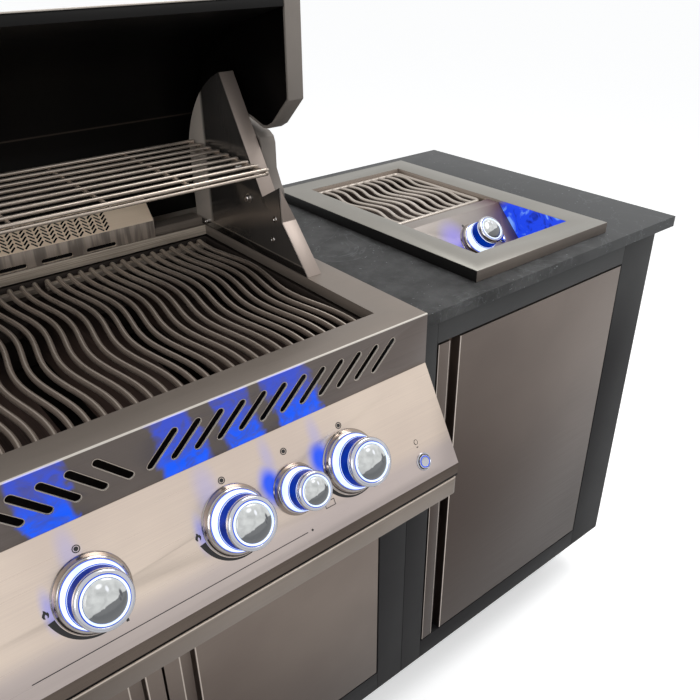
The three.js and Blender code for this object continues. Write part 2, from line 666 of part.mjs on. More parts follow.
// Rear ledge: a low channel behind the grids. Rear burner housing: a hollow cover with slots in its foot.
const REAR = { ledgeFront: 482, ledgeBack: 515, ledgeTop: 38, half: 371.5 };
const HOUSING = {
  half: 278, front: 477, brow: 54, slopeBack: 505, top: 88, back: 512, slots: 6, pitch: 73, slotHalf: 21.5,
  slotRadius: 3.5, slotDrop: 23.5,
};

function rearPieces() {
  const foot = HEAD.top + GAP;
  const { ledgeFront, ledgeBack, ledgeTop } = REAR;
  const ledge = [[ledgeBack, foot], [ledgeBack, ledgeTop], [ledgeFront, ledgeTop], [ledgeFront, foot]];
  add(head, 'rear_ledge', extrude(bentSheet(ledge, SHEET), 'x', -REAR.half, REAR.half), 'stainless');
  const h = HOUSING;
  const onLedge = REAR.ledgeTop + GAP;
  const apron = h.front + SHEET;
  const cover = [
    [h.back, onLedge], [h.back, h.top], [h.slopeBack, h.top], [h.front, h.brow], [h.front, foot],
  ];
  const below = [[apron, onLedge - 1], [h.back - SHEET, onLedge - 1]];
  const inside = [...offset(cover, SHEET).slice(0, -1), ...below];
  const outside = [...cover, [apron, foot], [apron, onLedge]];
  let body = extrude(outline(outside), 'x', -h.half, h.half)
    .subtract(extrude(outline(inside), 'x', -h.half + SHEET, h.half - SHEET));
  for (let i = 0; i < h.slots; i += 1) {
    const x = (i - (h.slots - 1) / 2) * h.pitch;
    const z = h.brow - h.slotDrop;
    const slot = obround(x - h.slotHalf, z, x + h.slotHalf, z, h.slotRadius);
    body = body.subtract(extrude(slot, 'y', h.front - 1, h.front + SHEET + 1, 2));
  }
  add(head, 'rear_burner_housing', body, 'stainless');
}

rearPieces();

// Warming rack: straight rods welded on two end bars and three ties, with one more rod under the front.
function warmingRack() {
  const r = RACK;
  const barX = r.half - r.barRadius;
  const barZ = r.z - r.rodRadius - r.barRadius + r.weld;
  const tieZ = r.z - r.rodRadius - r.tieRadius + r.weld;
  const last = r.first + r.pitch * (r.rods - 1);
  const frontY = r.first + 1;
  const frontZ = barZ - 2;
  let body = join(
    bar([-barX, r.first - 3, barZ], [-barX, last + 3, barZ], r.barRadius, 4),
    bar([barX, r.first - 3, barZ], [barX, last + 3, barZ], r.barRadius, 4),
    bar([-r.half, frontY, frontZ], [r.half, frontY, frontZ], r.rodRadius, 4),
  );
  for (let i = 0; i < r.rods; i += 1) {
    const y = r.first + i * r.pitch;
    body = body.add(bar([-r.half, y, r.z], [r.half, y, r.z], r.rodRadius, 4));
  }
  for (const x of r.ties) {
    body = body.add(bar([x, r.first, tieZ], [x, last, tieZ], r.tieRadius, 4));
  }
  add(head, 'warming_rack', body, 'grid');
}

warmingRack();

// Drip tray: a shallow pan on the runners with a full-width front bar, bullnosed along its top.
function dripTray() {
  const d = DRIP;
  const nose = d.faceThick / 2;
  const section = new THREE.Shape();
  section.moveTo(d.faceFront, d.faceBottom);
  section.lineTo(d.faceFront + d.faceThick, d.faceBottom);
  section.absarc(d.faceFront + nose, d.faceTop - nose, nose, 0, Math.PI);
  section.closePath();
  const w = HEAD.halfWidth;
  const ends = rounded(-w, w, d.faceFront, d.faceFront + 60, 9);
  const front = extrude(section, 'x', -w, w, 4)
    .intersect(extrude(ends, 'z', d.faceBottom - 1, d.faceTop + 1));
  const panFront = d.faceFront + d.faceThick - 1;
  const inner = d.half - SHEET;
  const pan = box(-d.half, d.half, panFront, d.back, d.bottom, d.rim)
    .subtract(box(-inner, inner, panFront + SHEET + 1, d.back - SHEET, d.bottom + SHEET, d.rim + 1));
  add(head, 'drip_tray', front.add(pan), 'stainless');
}

dripTray();

// Hood, drawn closed round its pivot and turned back to the open position

const lid = new THREE.Group();
lid.position.set(0, PIVOT.y, PIVOT.z);
lid.rotation.x = -LID.open;
head.add(lid);

// The hood's face from its front edge over the top, in (y, z) from the pivot.
const LID_EDGE = [-294, -81];
const LID_BROW = [[-268, 30], [-243, 137], [-176, 212], [-60, 224]];

function lidFace() {
  const brow = new THREE.CubicBezierCurve(...LID_BROW.map(([y, z]) => new THREE.Vector2(y, z)));
  return [LID_EDGE, ...brow.getPoints(9).map((p) => [p.x, p.y]), [20, 227]];
}

const LID_REAR = 98;
const LID_SKIN = [...lidFace(), [LID_REAR, 226]];

function lidPieces() {
  add(lid, 'lid_skin', extrude(bentSheet(LID_SKIN, -SHEET), 'x', -LID.half, LID.half), 'stainless');

  const [bottom, ...above] = offset([...lidFace(), [72, 226.4]], -14);
  const root = offset(LID_SKIN, -SHEET - GAP)[0];
  const hem = [[root[0] + 0.6, root[1] + 3], [bottom[0], bottom[1] + 3]];
  const half = LID.capInner - 2.5;
  add(lid, 'lid_lining', extrude(bentSheet([...hem, ...above], -1.5), 'x', -half, half), 'lining');

  lidEnd('lid_end_left', -1);
  lidEnd('lid_end_right', 1);
  lidHandle();
}

// Cast end cap: a hollow shell, open inwards, with a lobe round the pivot and a notch that clears the
// hood side's flange when the hood comes down.
function lidEnd(name, side) {
  const top = offset([...lidFace(), [80, 226.3]], -SHEET - 0.5);
  const lobe = arc(0, 0, LID.lobe, 2, -138, 8);
  const notch = [
    [-39, -9], [-81, -9], [-92, -4], [-96, 9], [-108, 78], [-128, 80],
    [-115, 22], [-106, -10], [-107, -22], [-115, -38], [-156, -81],
  ];
  const rim = [...top, ...lobe, ...notch];
  const hollow = offset(rim, -LID.capRim, true);
  const outer = LID.half - 0.5;
  const plate = outer - LID.capPlate;
  const shell = extrude(outline(rim), 'x', side * LID.capInner, side * outer)
    .subtract(extrude(outline(hollow), 'x', side * (LID.capInner - 1), side * plate));
  const boss = bar([side * (LID.capInner + 1), 0, 0], [side * (outer - 1), 0, 0], LID.boss, 12);
  const bore = bar([side * LID.capInner, 0, 0], [side * plate, 0, 0], PIVOT.bore, 12);
  add(lid, name, shell.add(boss).subtract(bore), 'cast');
}

// Bar grip on two posts that stop just short of the hood's straight front face.
function lidHandle() {
  const h = HANDLE;
  const edge = new THREE.Vector2(...LID_EDGE);
  const rise = new THREE.Vector2(...LID_BROW[0]).sub(edge).normalize();
  const foot = [h.y + h.postLength * rise.y - GAP, h.z - h.postLength * rise.x];
  let body = bar([-h.half, h.y, h.z], [h.half, h.y, h.z], h.radius, 14);
  for (const x of [-h.postX, h.postX]) {
    body = body.add(bar([x, h.y, h.z], [x, ...foot], h.postRadius, 10));
  }
  add(lid, 'lid_handle', body, 'stainless');
}

lidPieces();

// Drop-in side burner

const sideBurner = new THREE.Group();
sideBurner.position.set(BURNER_TRIM.x, 0, COUNTER.top);
island.add(sideBurner);

function sideBurnerPan() {
  const t = BURNER_TRIM;
  const b = BOWL;
  const shell = box(-t.half, t.half, t.front, t.rear, GAP, t.top);
  const under = box(-t.half + SHEET, t.half - SHEET, t.front + SHEET, t.rear - SHEET, 0, t.top - SHEET);
  const wall = b.wall;
  const bowl = box(b.left - wall, b.right + wall, b.front - wall, b.back + wall, b.floor - wall, t.top - 1);
  const hollow = box(b.left, b.right, b.front, b.back, b.floor, t.top + 1);
  const gridFoot = SIDE_GRID.z - SIDE_GRID.wire / 2 - GAP;
  const ledge = (y0, y1) => box(b.left - 1, b.right + 1, y0, y1, gridFoot - b.ledge, gridFoot);
  const rearLedge = ledge(b.back - 8, b.back + 1);
  const frontLedge = ledge(PLATE.rear + GAP * 2, PLATE.rear + 16);
  const { left, right, front, back, top, corner } = BURNER_BOX;
  const burnerBox = extrude(rounded(left, right, front, back, corner), 'z', b.floor - 1, top, 2);
  const body = shell.subtract(under).add(bowl).subtract(hollow);
  add(sideBurner, 'side_burner_pan', join(body, rearLedge, frontLedge, burnerBox), 'trim');
}

sideBurnerPan();

// Wavy grid inside a rounded wire frame.
function sideGrid() {
  const s = SIDE_GRID;
  const middle = (BOWL.left + BOWL.right) / 2;
  const ring = (inset) => rounded(
    middle - s.half + inset, middle + s.half - inset, s.front + inset, s.back - inset, s.corner - inset,
  );
  const frame = ring(0);
  frame.holes.push(ring(s.wire));
  const wave = { amplitude: s.amplitude, wavelength: s.wavelength, crest: s.front };
  let body = extrude(frame, 'z', s.z - s.wire / 2, s.z + s.wire / 2, 2);
  for (let i = 0; i < s.rods; i += 1) {
    const x = middle + (i - (s.rods - 1) / 2) * s.pitch;
    body = body.add(waveRod(x, s.front + 3, s.back - 3, s.z + 0.4, s.rodRadius, wave, 6));
  }
  add(sideBurner, 'side_burner_grid', body, 'grid');
}

sideGrid();

// Sloping control plate: a leg behind, a flat top beside the grid and a slope down to the bowl's floor.
const plateFrame = new THREE.Group();
plateFrame.position.set(0, PLATE.bend, PLATE.top);
plateFrame.rotation.x = Math.PI / 2 - PLATE.slope;
sideBurner.add(plateFrame);

function plateBore(x, drop, radius, sides) {
  const y = PLATE.bend - drop * Math.cos(PLATE.slope);
  const z = PLATE.top - drop * Math.sin(PLATE.slope);
  const reach = 6;
  const dy = reach * Math.sin(PLATE.slope);
  const dz = reach * Math.cos(PLATE.slope);
  return bar([x, y + dy, z - dz], [x, y - dy, z + dz], radius, sides);
}

function controlPlate() {
  const footY = PLATE.bend - (PLATE.top - PLATE.foot) / Math.tan(PLATE.slope);
  const { rear, top, bend, foot } = PLATE;
  const face = [[rear, BOWL.floor + GAP], [rear, top], [bend, top], [footY, foot]];
  const body = extrude(bentSheet(face, SHEET), 'x', BOWL.left + GAP, BOWL.right - GAP)
    .subtract(plateBore(SIDE_KNOB.x, SIDE_KNOB.drop, STEM_HOLE, 8))
    .subtract(plateBore(SIDE_BUTTON.x, SIDE_BUTTON.drop, SIDE_BUTTON.hole, 12));
  add(sideBurner, 'side_burner_plate', body, 'stainless');
}

controlPlate();
const sideKnob = ['side_burner_bezel', 'side_burner_knob', SIDE_KNOB.x, SIDE_KNOB.drop, SIDE_KNOB.scale];
bezelAndKnob(plateFrame, ...sideKnob);
pushButton(plateFrame, 'side_burner_button', SIDE_BUTTON);

// Stand the island on the origin: the middle of its footprint, floor at zero.
const extent = new THREE.Box3().setFromObject(island, true);
const middle = extent.getCenter(new THREE.Vector3());
island.position.set(-middle.x, -middle.y, -extent.min.z);

export default island;
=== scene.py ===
"""Outdoor kitchen island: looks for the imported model, put together from the ground up. Metres throughout,
with the smaller pieces measured in millimetres from the place where they are fixed."""

import json
import math

import bmesh
import bpy
from mathutils import Matrix, Vector

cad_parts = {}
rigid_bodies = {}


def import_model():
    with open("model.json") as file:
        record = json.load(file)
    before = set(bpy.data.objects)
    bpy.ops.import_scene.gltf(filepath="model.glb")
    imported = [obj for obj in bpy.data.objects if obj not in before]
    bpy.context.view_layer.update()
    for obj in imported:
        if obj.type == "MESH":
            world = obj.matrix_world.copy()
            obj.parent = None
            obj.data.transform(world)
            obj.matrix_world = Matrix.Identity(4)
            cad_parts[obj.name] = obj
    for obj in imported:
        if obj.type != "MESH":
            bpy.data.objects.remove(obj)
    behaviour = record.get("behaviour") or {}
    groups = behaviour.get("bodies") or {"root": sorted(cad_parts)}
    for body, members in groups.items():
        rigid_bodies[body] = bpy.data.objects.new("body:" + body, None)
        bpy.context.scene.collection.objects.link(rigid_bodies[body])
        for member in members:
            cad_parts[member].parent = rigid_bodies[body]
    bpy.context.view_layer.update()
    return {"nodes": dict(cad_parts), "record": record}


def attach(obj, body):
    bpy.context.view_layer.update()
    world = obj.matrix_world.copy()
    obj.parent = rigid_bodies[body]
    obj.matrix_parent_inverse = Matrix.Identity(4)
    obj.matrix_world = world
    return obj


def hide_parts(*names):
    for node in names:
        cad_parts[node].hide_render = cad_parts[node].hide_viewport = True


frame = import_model()
nodes = frame["nodes"]


# Plinth and levelling feet
# A folded steel channel runs round under both cabinets, set back from their faces, and six threaded
# feet with round pads carry it, each locked by a nut. All of it is powder coated near black.

PLINTH_BLACK, PLINTH_WORN = (38, 39, 41), (52, 52, 53)
FOOT_X, FOOT_Y, NUT_Z = (-0.68, 0.0, 0.68), (-0.1419, 0.2781), 0.0225
HEX_NUT = [(14, 0), (16.4, 1.2), (16.4, 9.8), (14, 11)]
DUST_SCALE, COAT_GRAIN, COAT_SHINE = 3.5, 900, 0.14
FLAT_WITHIN, SMOOTH_WITHIN, BREAK_OVER = math.radians(0.6), math.radians(35), math.radians(30)


def shade(colour):
    """A colour as the eye reads it, 0 to 255, as the shader wants it."""
    shares = [c / 255 for c in colour]
    return (*[c / 12.92 if c <= 0.04045 else ((c + 0.055) / 1.055) ** 2.4 for c in shares], 1.0)


def fed(socket, value):
    """A socket gets a plain value, or is joined to another socket."""
    if isinstance(value, bpy.types.NodeSocket):
        socket.id_data.links.new(value, socket)
    else:
        socket.default_value = value


def settle(made, *values, **settings):
    """Fills in a node: its choices, then values for its first sockets in order and for sockets by name, whose
    names begin with a capital."""
    named = {key: value for key, value in settings.items() if key[0].isupper()}
    for key in settings.keys() - named.keys():
        setattr(made, key, settings[key])
    for socket, value in zip(made.inputs, values):
        fed(socket, value)
    for key, value in named.items():
        fed(made.inputs[key.replace("_", " ")], value)
    return made


def node(near, kind, *values, **settings):
    """A new node in the material or sky that near, a node or a socket, belongs to."""
    return settle(near.id_data.nodes.new(kind), *values, **settings)


def maths(operation, first, *others):
    """One step of arithmetic; the first value is a socket and the others are sockets or numbers."""
    return node(first, "ShaderNodeMath", first, *others, operation=operation).outputs["Value"]


def between(value, low, high, start=0.0, end=1.0):
    """A soft step: start up to the value low, end from the value high on."""
    return node(value, "ShaderNodeMapRange", value, low, high, start, end,
                interpolation_type="SMOOTHSTEP").outputs["Result"]


def mixed(fac, first, second, blend="MIX"):
    """Two colours mixed; fac and the colours are sockets or plain values, with a socket among them. A plain
    colour is given as the eye reads it."""
    near = next(value for value in (fac, first, second) if isinstance(value, bpy.types.NodeSocket))
    mix = node(near, "ShaderNodeMix", fac, data_type="RGBA", blend_type=blend)
    for socket, colour in ((mix.inputs[6], first), (mix.inputs[7], second)):
        fed(socket, colour if isinstance(colour, bpy.types.NodeSocket) else shade(colour))
    return mix.outputs[2]


def noise(where, scale, detail=2.0, roughness=0.5, distortion=0.0):
    """A cloudy value from 0 to 1 at each place."""
    return node(where, "ShaderNodeTexNoise", where, Scale=scale, Detail=detail, Roughness=roughness,
                Distortion=distortion).outputs["Fac"]


def bumped(height, strength, depth):
    """A shallow relief, as the shader's normal."""
    return node(height, "ShaderNodeBump", strength, depth, Height=height).outputs["Normal"]


def axis_of(where, axis):
    return node(where, "ShaderNodeSeparateXYZ", where).outputs[axis]


def shader_of(material):
    """A material's shader and the place of each point of its piece."""
    shader = material.node_tree.nodes["Principled BSDF"]
    return shader, node(shader, "ShaderNodeTexCoord").outputs["Object"]


def blank_material(name):
    material = bpy.data.materials.new(name)
    material.use_nodes = True
    return material, *shader_of(material)


def powder_coat(name, colour, worn, roughness, deep=None):
    """Baked powder: a fine orange-peel bump and slow patches where dust has settled. Where deep is given, the
    coat goes down to it between two heights, as painted shade that darkens it towards the bottom."""
    material, shader, where = blank_material(name)
    patches = noise(where, DUST_SCALE, 5.0, 0.6)
    tint = mixed(between(patches, 0.3, 0.75), colour, worn)
    # Painted shade: the coat goes over to the darker deep colour below 0.86 m, fully below 0.6 m.
    if deep:
        tint = mixed(between(axis_of(where, "Z"), 0.6, 0.86), deep, tint)
    settle(shader, Base_Color=tint, Specular_IOR_Level=COAT_SHINE,
           Roughness=between(patches, 0, 1, roughness - 0.07, roughness + 0.1),
           Normal=bumped(noise(where, COAT_GRAIN), 0.12, 0.0003))
    return material


def body_of(solid):
    """The moving body that a solid belongs to."""
    return next(body for body, members in frame["record"]["behaviour"]["bodies"].items() if solid in members)


def slot_of(solid):
    """The finish that the record gives a solid."""
    return next(s["material_slot"] for s in frame["record"]["subparts"] if s["node"] == solid)


def alone(piece):
    """Nothing but this piece is selected, and it is the active one."""
    bpy.ops.object.select_all(action="DESELECT")
    piece.select_set(True)
    bpy.context.view_layer.objects.active = piece


def edit(piece):
    """Opens a piece for editing, with all of it selected."""
    alone(piece)
    bpy.ops.object.mode_set(mode="EDIT")
    bpy.ops.mesh.select_all(action="SELECT")


def closed(piece, weld=0.0):
    """Ends an edit: points that meet are welded, and every face looks outward."""
    bpy.ops.mesh.select_all(action="SELECT")
    if weld:
        bpy.ops.mesh.remove_doubles(threshold=weld)
    bpy.ops.mesh.normals_make_consistent(inside=False)
    bpy.ops.object.mode_set(mode="OBJECT")
    return piece


def flattened(piece, weld=0.00001):
    """Triangles that lie in one plane merged back into one flat."""
    edit(piece)
    bpy.ops.mesh.remove_doubles(threshold=weld)
    bpy.ops.mesh.dissolve_limited(angle_limit=FLAT_WITHIN)
    bpy.ops.mesh.customdata_custom_splitnormals_clear()
    bpy.ops.object.mode_set(mode="OBJECT")
    return piece


def copied(name, solid):
    """A solid's own shape as a new piece."""
    piece = bpy.data.objects.new(name, nodes[solid].data.copy())
    bpy.context.collection.objects.link(piece)
    return flattened(piece, 0.00002)


def broken(piece, edge, segments=2):
    """Sharp edges broken as a press or a file leaves them, and the curved faces shaded smooth."""
    alone(piece)
    if edge:
        ease = piece.modifiers.new("Broken edges", "BEVEL")
        ease.width, ease.segments, ease.limit_method, ease.angle_limit = edge, segments, "ANGLE", BREAK_OVER
        bpy.ops.object.modifier_apply(modifier=ease.name)
    bpy.ops.object.shade_smooth_by_angle(angle=SMOOTH_WITHIN)
    return piece


def fitted(piece, body, slot, material, *stands_for):
    """A finished piece gets its material, the body it moves with and the solids it stands for; its finish,
    slot, is not used.
    """
    piece.data.materials.clear()
    piece.data.materials.append(material)
    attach(piece, body)
    if stands_for:
        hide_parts(*stands_for)
    return piece


def eased(name, solid, material, edge, segments=2):
    """A solid kept in its own shape, with its edges broken."""
    piece = broken(copied(name, solid), edge, segments)
    return fitted(piece, body_of(solid), slot_of(solid), material, solid)


def placed(piece, place):
    """The piece goes to its place, and the place into its mesh."""
    alone(piece)
    piece.matrix_world = place
    bpy.ops.object.transform_apply(location=True, rotation=True, scale=True)
    return piece


def turned(name, rings, sides=48, hoop=False, place=Matrix(), smooth=32):
    """Drawn up from a circle, ring by ring, each (radius, height) in millimetres. A hoop ends where it began;
    anything else is closed by a flat at its first ring and by a flat or a point at its last."""
    wide, high = rings[0]
    fill = "NOTHING" if hoop else "NGON"
    bpy.ops.mesh.primitive_circle_add(vertices=sides, radius=wide / 1000, fill_type=fill)
    piece = bpy.context.object
    piece.name = name
    edit(piece)
    bpy.ops.transform.translate(value=(0, 0, high / 1000))
    for radius, height in rings[1:] + (rings[:1] if hoop else []):
        bpy.ops.mesh.extrude_region_move(TRANSFORM_OT_translate={"value": (0, 0, (height - high) / 1000)})
        factor = radius / wide
        bpy.ops.transform.resize(value=(factor, factor, 1), center_override=(0, 0, height / 1000))
        wide, high = radius, height
    closed(piece, 0.000002)
    bpy.ops.object.shade_smooth_by_angle(angle=math.radians(smooth))
    return placed(piece, place)


def row(pattern, shifts):
    """One more of the same, with a mesh of its own, at each step; the pattern is used up."""
    twins = []
    for shift in shifts:
        other = bpy.data.objects.new(pattern.name, pattern.data.copy())
        bpy.context.collection.objects.link(other)
        other.data.transform(Matrix.Translation(shift))
        twins.append(other)
    bpy.data.objects.remove(pattern)
    return twins


def joined(name, pieces):
    """Several pieces welded into one."""
    alone(pieces[0])
    for piece in pieces:
        piece.select_set(True)
    bpy.ops.object.join()
    pieces[0].name = name
    return pieces[0]


plinth_coat = powder_coat("plinth powder coat", PLINTH_BLACK, PLINTH_WORN, 0.6)
eased("plinth_channel", "plinth", plinth_coat, 0.0008)
nuts = row(turned("nut", HEX_NUT, 6, smooth=20), [(x, y, NUT_Z) for x in FOOT_X for y in FOOT_Y])
fitted(joined("levelling_nuts", nuts), "island", "plinth", plinth_coat)


# Cabinet carcasses
# Each module is two folded side panels whose front edge is the stile, a rail above and below the door
# opening, a floor and a back, all in charcoal powder coat. Pan-head screws hold the backs on.

CHARCOAL, CHARCOAL_DUSTY, CHARCOAL_PAINTED_SHADE = (64, 64, 64), (76, 76, 76), (31, 30, 31)
INSIDE_GREY, INSIDE_DUSTY = (52, 53, 55), (60, 61, 62)
PANEL_EDGE, RAIL_EDGE = 0.0007, 0.0006
BACK_FACE, SCREW_HEIGHTS = 0.3661, (0.15, 0.51, 0.875)
SCREW_ROWS = {"grill_cabinet": (-0.755, -0.32, 0.115), "side_cabinet": (0.155, 0.455, 0.755)}
PAN_HEAD = [(3.6, 0), (4.2, 0.3), (4.0, 1.2), (3.2, 2.1), (2.2, 2.5), (1.9, 1.6), (0, 1.4)]
QUARTER = math.pi / 2


def stood(place, angle, axis):
    """A place on the model, with the turn about one axis that a piece has there."""
    return Matrix.Translation(place) @ Matrix.Rotation(angle, 4, axis)


# The cabinet coat darkens towards the bottom as painted shade under the worktop.
cabinet_coat = powder_coat("cabinet powder coat", CHARCOAL, CHARCOAL_DUSTY, 0.5, CHARCOAL_PAINTED_SHADE)
inside_coat = powder_coat("cabinet inner coat", INSIDE_GREY, INSIDE_DUSTY, 0.65)
for module, columns in SCREW_ROWS.items():
    for side in ("left", "right"):
        eased(f"{module}_{side}_panel", f"{module}_{side}_side", cabinet_coat, PANEL_EDGE)
    for rail in ("bottom", "top"):
        eased(f"{module}_{rail}_crossbar", f"{module}_{rail}_rail", cabinet_coat, RAIL_EDGE)
    eased(f"{module}_rear_panel", f"{module}_back", cabinet_coat, PANEL_EDGE)
    eased(f"{module}_base_panel", f"{module}_floor", inside_coat, PANEL_EDGE)
    screw = turned("screw", PAN_HEAD, 20, place=stood((0, BACK_FACE, 0), -QUARTER, "X"))
    screws = row(screw, [(x, 0, z) for x in columns for z in SCREW_HEIGHTS])
    fitted(joined(f"{module}_back_screws", screws), "island", "frame", cabinet_coat)


# Cabinet doors
# Folded stainless sheet with a satin finish, hung on pins. A strip with a finger channel runs the full
# height of each free edge, with painted highlights along the channel's edges. Shade is painted on the sheet:
# it reads light at the top right and deepens to the bottom left.

DOOR_STEEL, DOOR_PAINTED_SHADE, DOOR_EDGE_HIGHLIGHT = (154, 142, 134), (80, 70, 65), (226, 214, 203)
LOW_DOOR_STEEL, LOW_DOOR_PAINTED_SHADE, LOW_DOOR_EDGE_HIGHLIGHT = (140, 128, 119), (70, 60, 56), (206, 194, 183)
GRAIN_LONG, GRAIN_FINE = 6, 900


def brushed(name, colour, dark, along="X", streak=0.10, roughness=0.32, metal=1.0, low=None, start=None,
            end=None):
    """Rolled stainless: streaks along the grain in the tint, the gloss and a shallow bump. Where low is
    given, shade is painted in: the tint goes over from low at the point start to the steel's own at the point
    end."""
    material, shader, where = blank_material(name)
    grain = [GRAIN_LONG if axis == along else GRAIN_FINE for axis in "XYZ"]
    streaks = noise(node(where, "ShaderNodeMapping", where, Scale=grain).outputs["Vector"], 1.0, 3.0, 0.6)
    both = maths("MULTIPLY_ADD", maths("SUBTRACT", streaks, 0.5), streak * 4, noise(where, 5.0, 3.0))
    tint = mixed(between(both, 0.28, 0.72), dark, colour)
    # Painted shade: a gradient from the darker low colour to the steel's own.
    if low:
        run = Vector(end) - Vector(start)
        reach = node(where, "ShaderNodeVectorMath", where, run, operation="DOT_PRODUCT").outputs["Value"]
        tint = mixed(between(reach, run.dot(Vector(start)), run.dot(Vector(end))), low, tint)
    settle(shader, Base_Color=tint, Metallic=metal, Normal=bumped(streaks, 0.06, 0.0002),
           Roughness=between(streaks, 0, 1, roughness - 0.08, roughness + 0.08))
    return material


def finished(material):
    """A finished material's shader, the socket of its tint and the place of each point of its piece."""
    shader, where = shader_of(material)
    return shader, shader.inputs["Base Color"].links[0].from_socket, where


def painted_shading_line(material, axis, place, half, share, colour):
    """A painted line of light or shade at one place along an axis, half wide each way: a painted highlight
    where a folded sheet or a pressed seam catches the light, or a painted shadow or a shaded band."""
    shader, own, where = finished(material)
    off = maths("ABSOLUTE", maths("SUBTRACT", axis_of(where, axis), place))
    settle(shader, Base_Color=mixed(between(off, half * 0.6, half, share, 0.0), own, colour))


# Painted shade: each door darkens towards its bottom left.
side_door_steel = brushed("side door stainless", DOOR_STEEL, (142, 131, 124), roughness=0.38,
                          low=DOOR_PAINTED_SHADE, start=(0.28, -0.24, 0.42), end=(0.62, -0.24, 0.98))
low_door_steel = brushed("grill door stainless", LOW_DOOR_STEEL, (128, 116, 108), roughness=0.38,
                         low=LOW_DOOR_PAINTED_SHADE, start=(-0.5, -0.24, 0.2), end=(-0.2, -0.24, 0.70))
# Painted highlights along the edges of the finger channels.
for x, half, share in ((0.1900, 0.0008, 0.7), (0.2131, 0.0008, 0.7), (0.2379, 0.0013, 0.9)):
    painted_shading_line(side_door_steel, "X", x, half, share, DOOR_EDGE_HIGHLIGHT)
for x in (-0.3700, -0.3448, -0.2945, -0.2694):
    painted_shading_line(low_door_steel, "X", x, 0.0011, 0.8, LOW_DOOR_EDGE_HIGHLIGHT)
eased("side_door_leaf", "side_door", side_door_steel, PANEL_EDGE)
for door in ("grill_door_left", "grill_door_right"):
    eased(f"{door}_leaf", door, low_door_steel, PANEL_EDGE)


# Stone worktop
# One slab of dark honed stone, cut open for the grill head and the side burner. It is finely mottled,
# with a few pale veins and specks and a painted sheen that makes it paler to the far right, and its arrises
# are rubbed down.

STONE, STONE_PALE, STONE_DARK, STONE_PAINTED_SHEEN = (59, 59, 59), (82, 82, 82), (34, 34, 34), (73, 74, 75)
STONE_VEIN, STONE_CHIP = (118, 121, 123), (128, 131, 133)
WORKTOP_ARRIS, STONE_SHINE = 0.0014, 0.22


def honed_stone(name):
    material, shader, where = blank_material(name)
    mottle = noise(where, 14.0, 9.0, 0.7)
    speck = node(where, "ShaderNodeTexNoise", where, Scale=420.0, Detail=3.0, Roughness=0.7).outputs
    tint = mixed(between(mottle, 0.3, 0.7), STONE_DARK, STONE_PALE)
    tint = mixed(0.35, tint, STONE)
    tint = mixed(0.3, tint, speck["Color"], "OVERLAY")
    # Painted sheen: the stone is paler towards the far right.
    tint = mixed(between(axis_of(where, "X"), 0.35, 0.8, 0.0, 0.75), tint, STONE_PAINTED_SHEEN)
    off_vein = maths("ABSOLUTE", maths("SUBTRACT", noise(where, 5.0, 6.0, 0.55, 1.2), 0.5))
    tint = mixed(between(off_vein, 0.0, 0.006, 0.2, 0.0), tint, STONE_VEIN)
    tint = mixed(between(noise(where, 170.0, 1.0), 0.735, 0.775, 0.0, 0.6), tint, STONE_CHIP)
    settle(shader, Base_Color=tint, Roughness=between(mottle, 0.2, 0.8, 0.5, 0.64),
           Specular_IOR_Level=STONE_SHINE, Normal=bumped(speck["Fac"], 0.12, 0.0004))
    return material


eased("worktop_slab", "counter_top", honed_stone("honed dark stone"), WORKTOP_ARRIS, 3)


# Grill head trim
# One satin sheet folded over the worktop's edge round the cooking opening. Its front face has a darker copy
# of the steel as painted shade, its rear strip a paler one as painted light, and painted highlights run along
# its folds. The front face is punched with two groups of slanted vents whose rolled rims are in a paler steel
# as a painted highlight, and the lit knobs under it throw blue patches of painted light on the face that lean
# to the left as they rise.

GRILL_X, COUNTER_FRONT, COUNTER_TOP = -0.3197, -0.261942, 0.914
TRIM_STEEL, REAR_TRIM_LIT_STEEL, TRIM_FACE_SHADED_STEEL = (130, 120, 111), (196, 183, 167), (112, 102, 97)
RIM_STEEL, FOLD_HIGHLIGHT = (198, 187, 175), (226, 219, 209)
VENT_COUNT, VENT_FIRST, VENT_PITCH, VENT_RUN = 12, 12, 29.1, 32
VENT_LOW, VENT_HIGH, VENT_RADIUS = -27.7, 4.4, 4.6
PUNCH_DEPTH, RIM_PLANE, RIM_WIDTH, RIM_PROUD, RIM_LAP = 4, -30, 0.6, 0.25, 0.15
FACE_LOW, FACE_HIGH = -52, 25
TRIM_PLANE, TRIM_PATCH = -29, ((-372, 372), (-30, -28), (-36, 12))
PATCH_SWAY, PATCH_SOFT = 32, 0.005
BLUE_PATCHES = [(-302, -244, -310, -258), (-125, -72, -133, -81), (28, 87, 13, 63),
                (110, 158, 93, 137), (184, 246, 160, 219)]


def at_grill(x, y, z):
    """Millimetres from the middle of the grill head, at the worktop's front edge and top, as a place."""
    return Vector((GRILL_X + x / 1000, COUNTER_FRONT + y / 1000, COUNTER_TOP + z / 1000))


def painted(piece, material, faces):
    """Another material for some of a piece's faces, given by their numbers."""
    piece.data.materials.append(material)
    for index in faces:
        piece.data.polygons[index].material_index = len(piece.data.materials) - 1


def second_finish(piece, material, test):
    """Another material for the faces whose middle and normal pass the test."""
    painted(piece, material, [face.index for face in piece.data.polygons if test(face.center, face.normal)])


def traced(name, corners, filled=True):
    """Drawn corner by corner from a single point: a flat face, or an open line."""
    bpy.ops.mesh.primitive_plane_add(size=0.001)
    piece = bpy.context.object
    piece.name = name
    edit(piece)
    bpy.ops.mesh.select_mode(type="VERT")
    bpy.ops.mesh.select_all(action="SELECT")
    bpy.ops.mesh.merge(type="CENTER")
    bpy.ops.transform.translate(value=corners[0])
    for here, there in zip(corners, corners[1:]):
        step = Vector(there) - Vector(here)
        bpy.ops.mesh.extrude_vertices_move(TRANSFORM_OT_translate={"value": step})
    if filled:
        bpy.ops.mesh.select_all(action="SELECT")
        bpy.ops.mesh.edge_face_add()
    bpy.ops.object.mode_set(mode="OBJECT")
    return piece


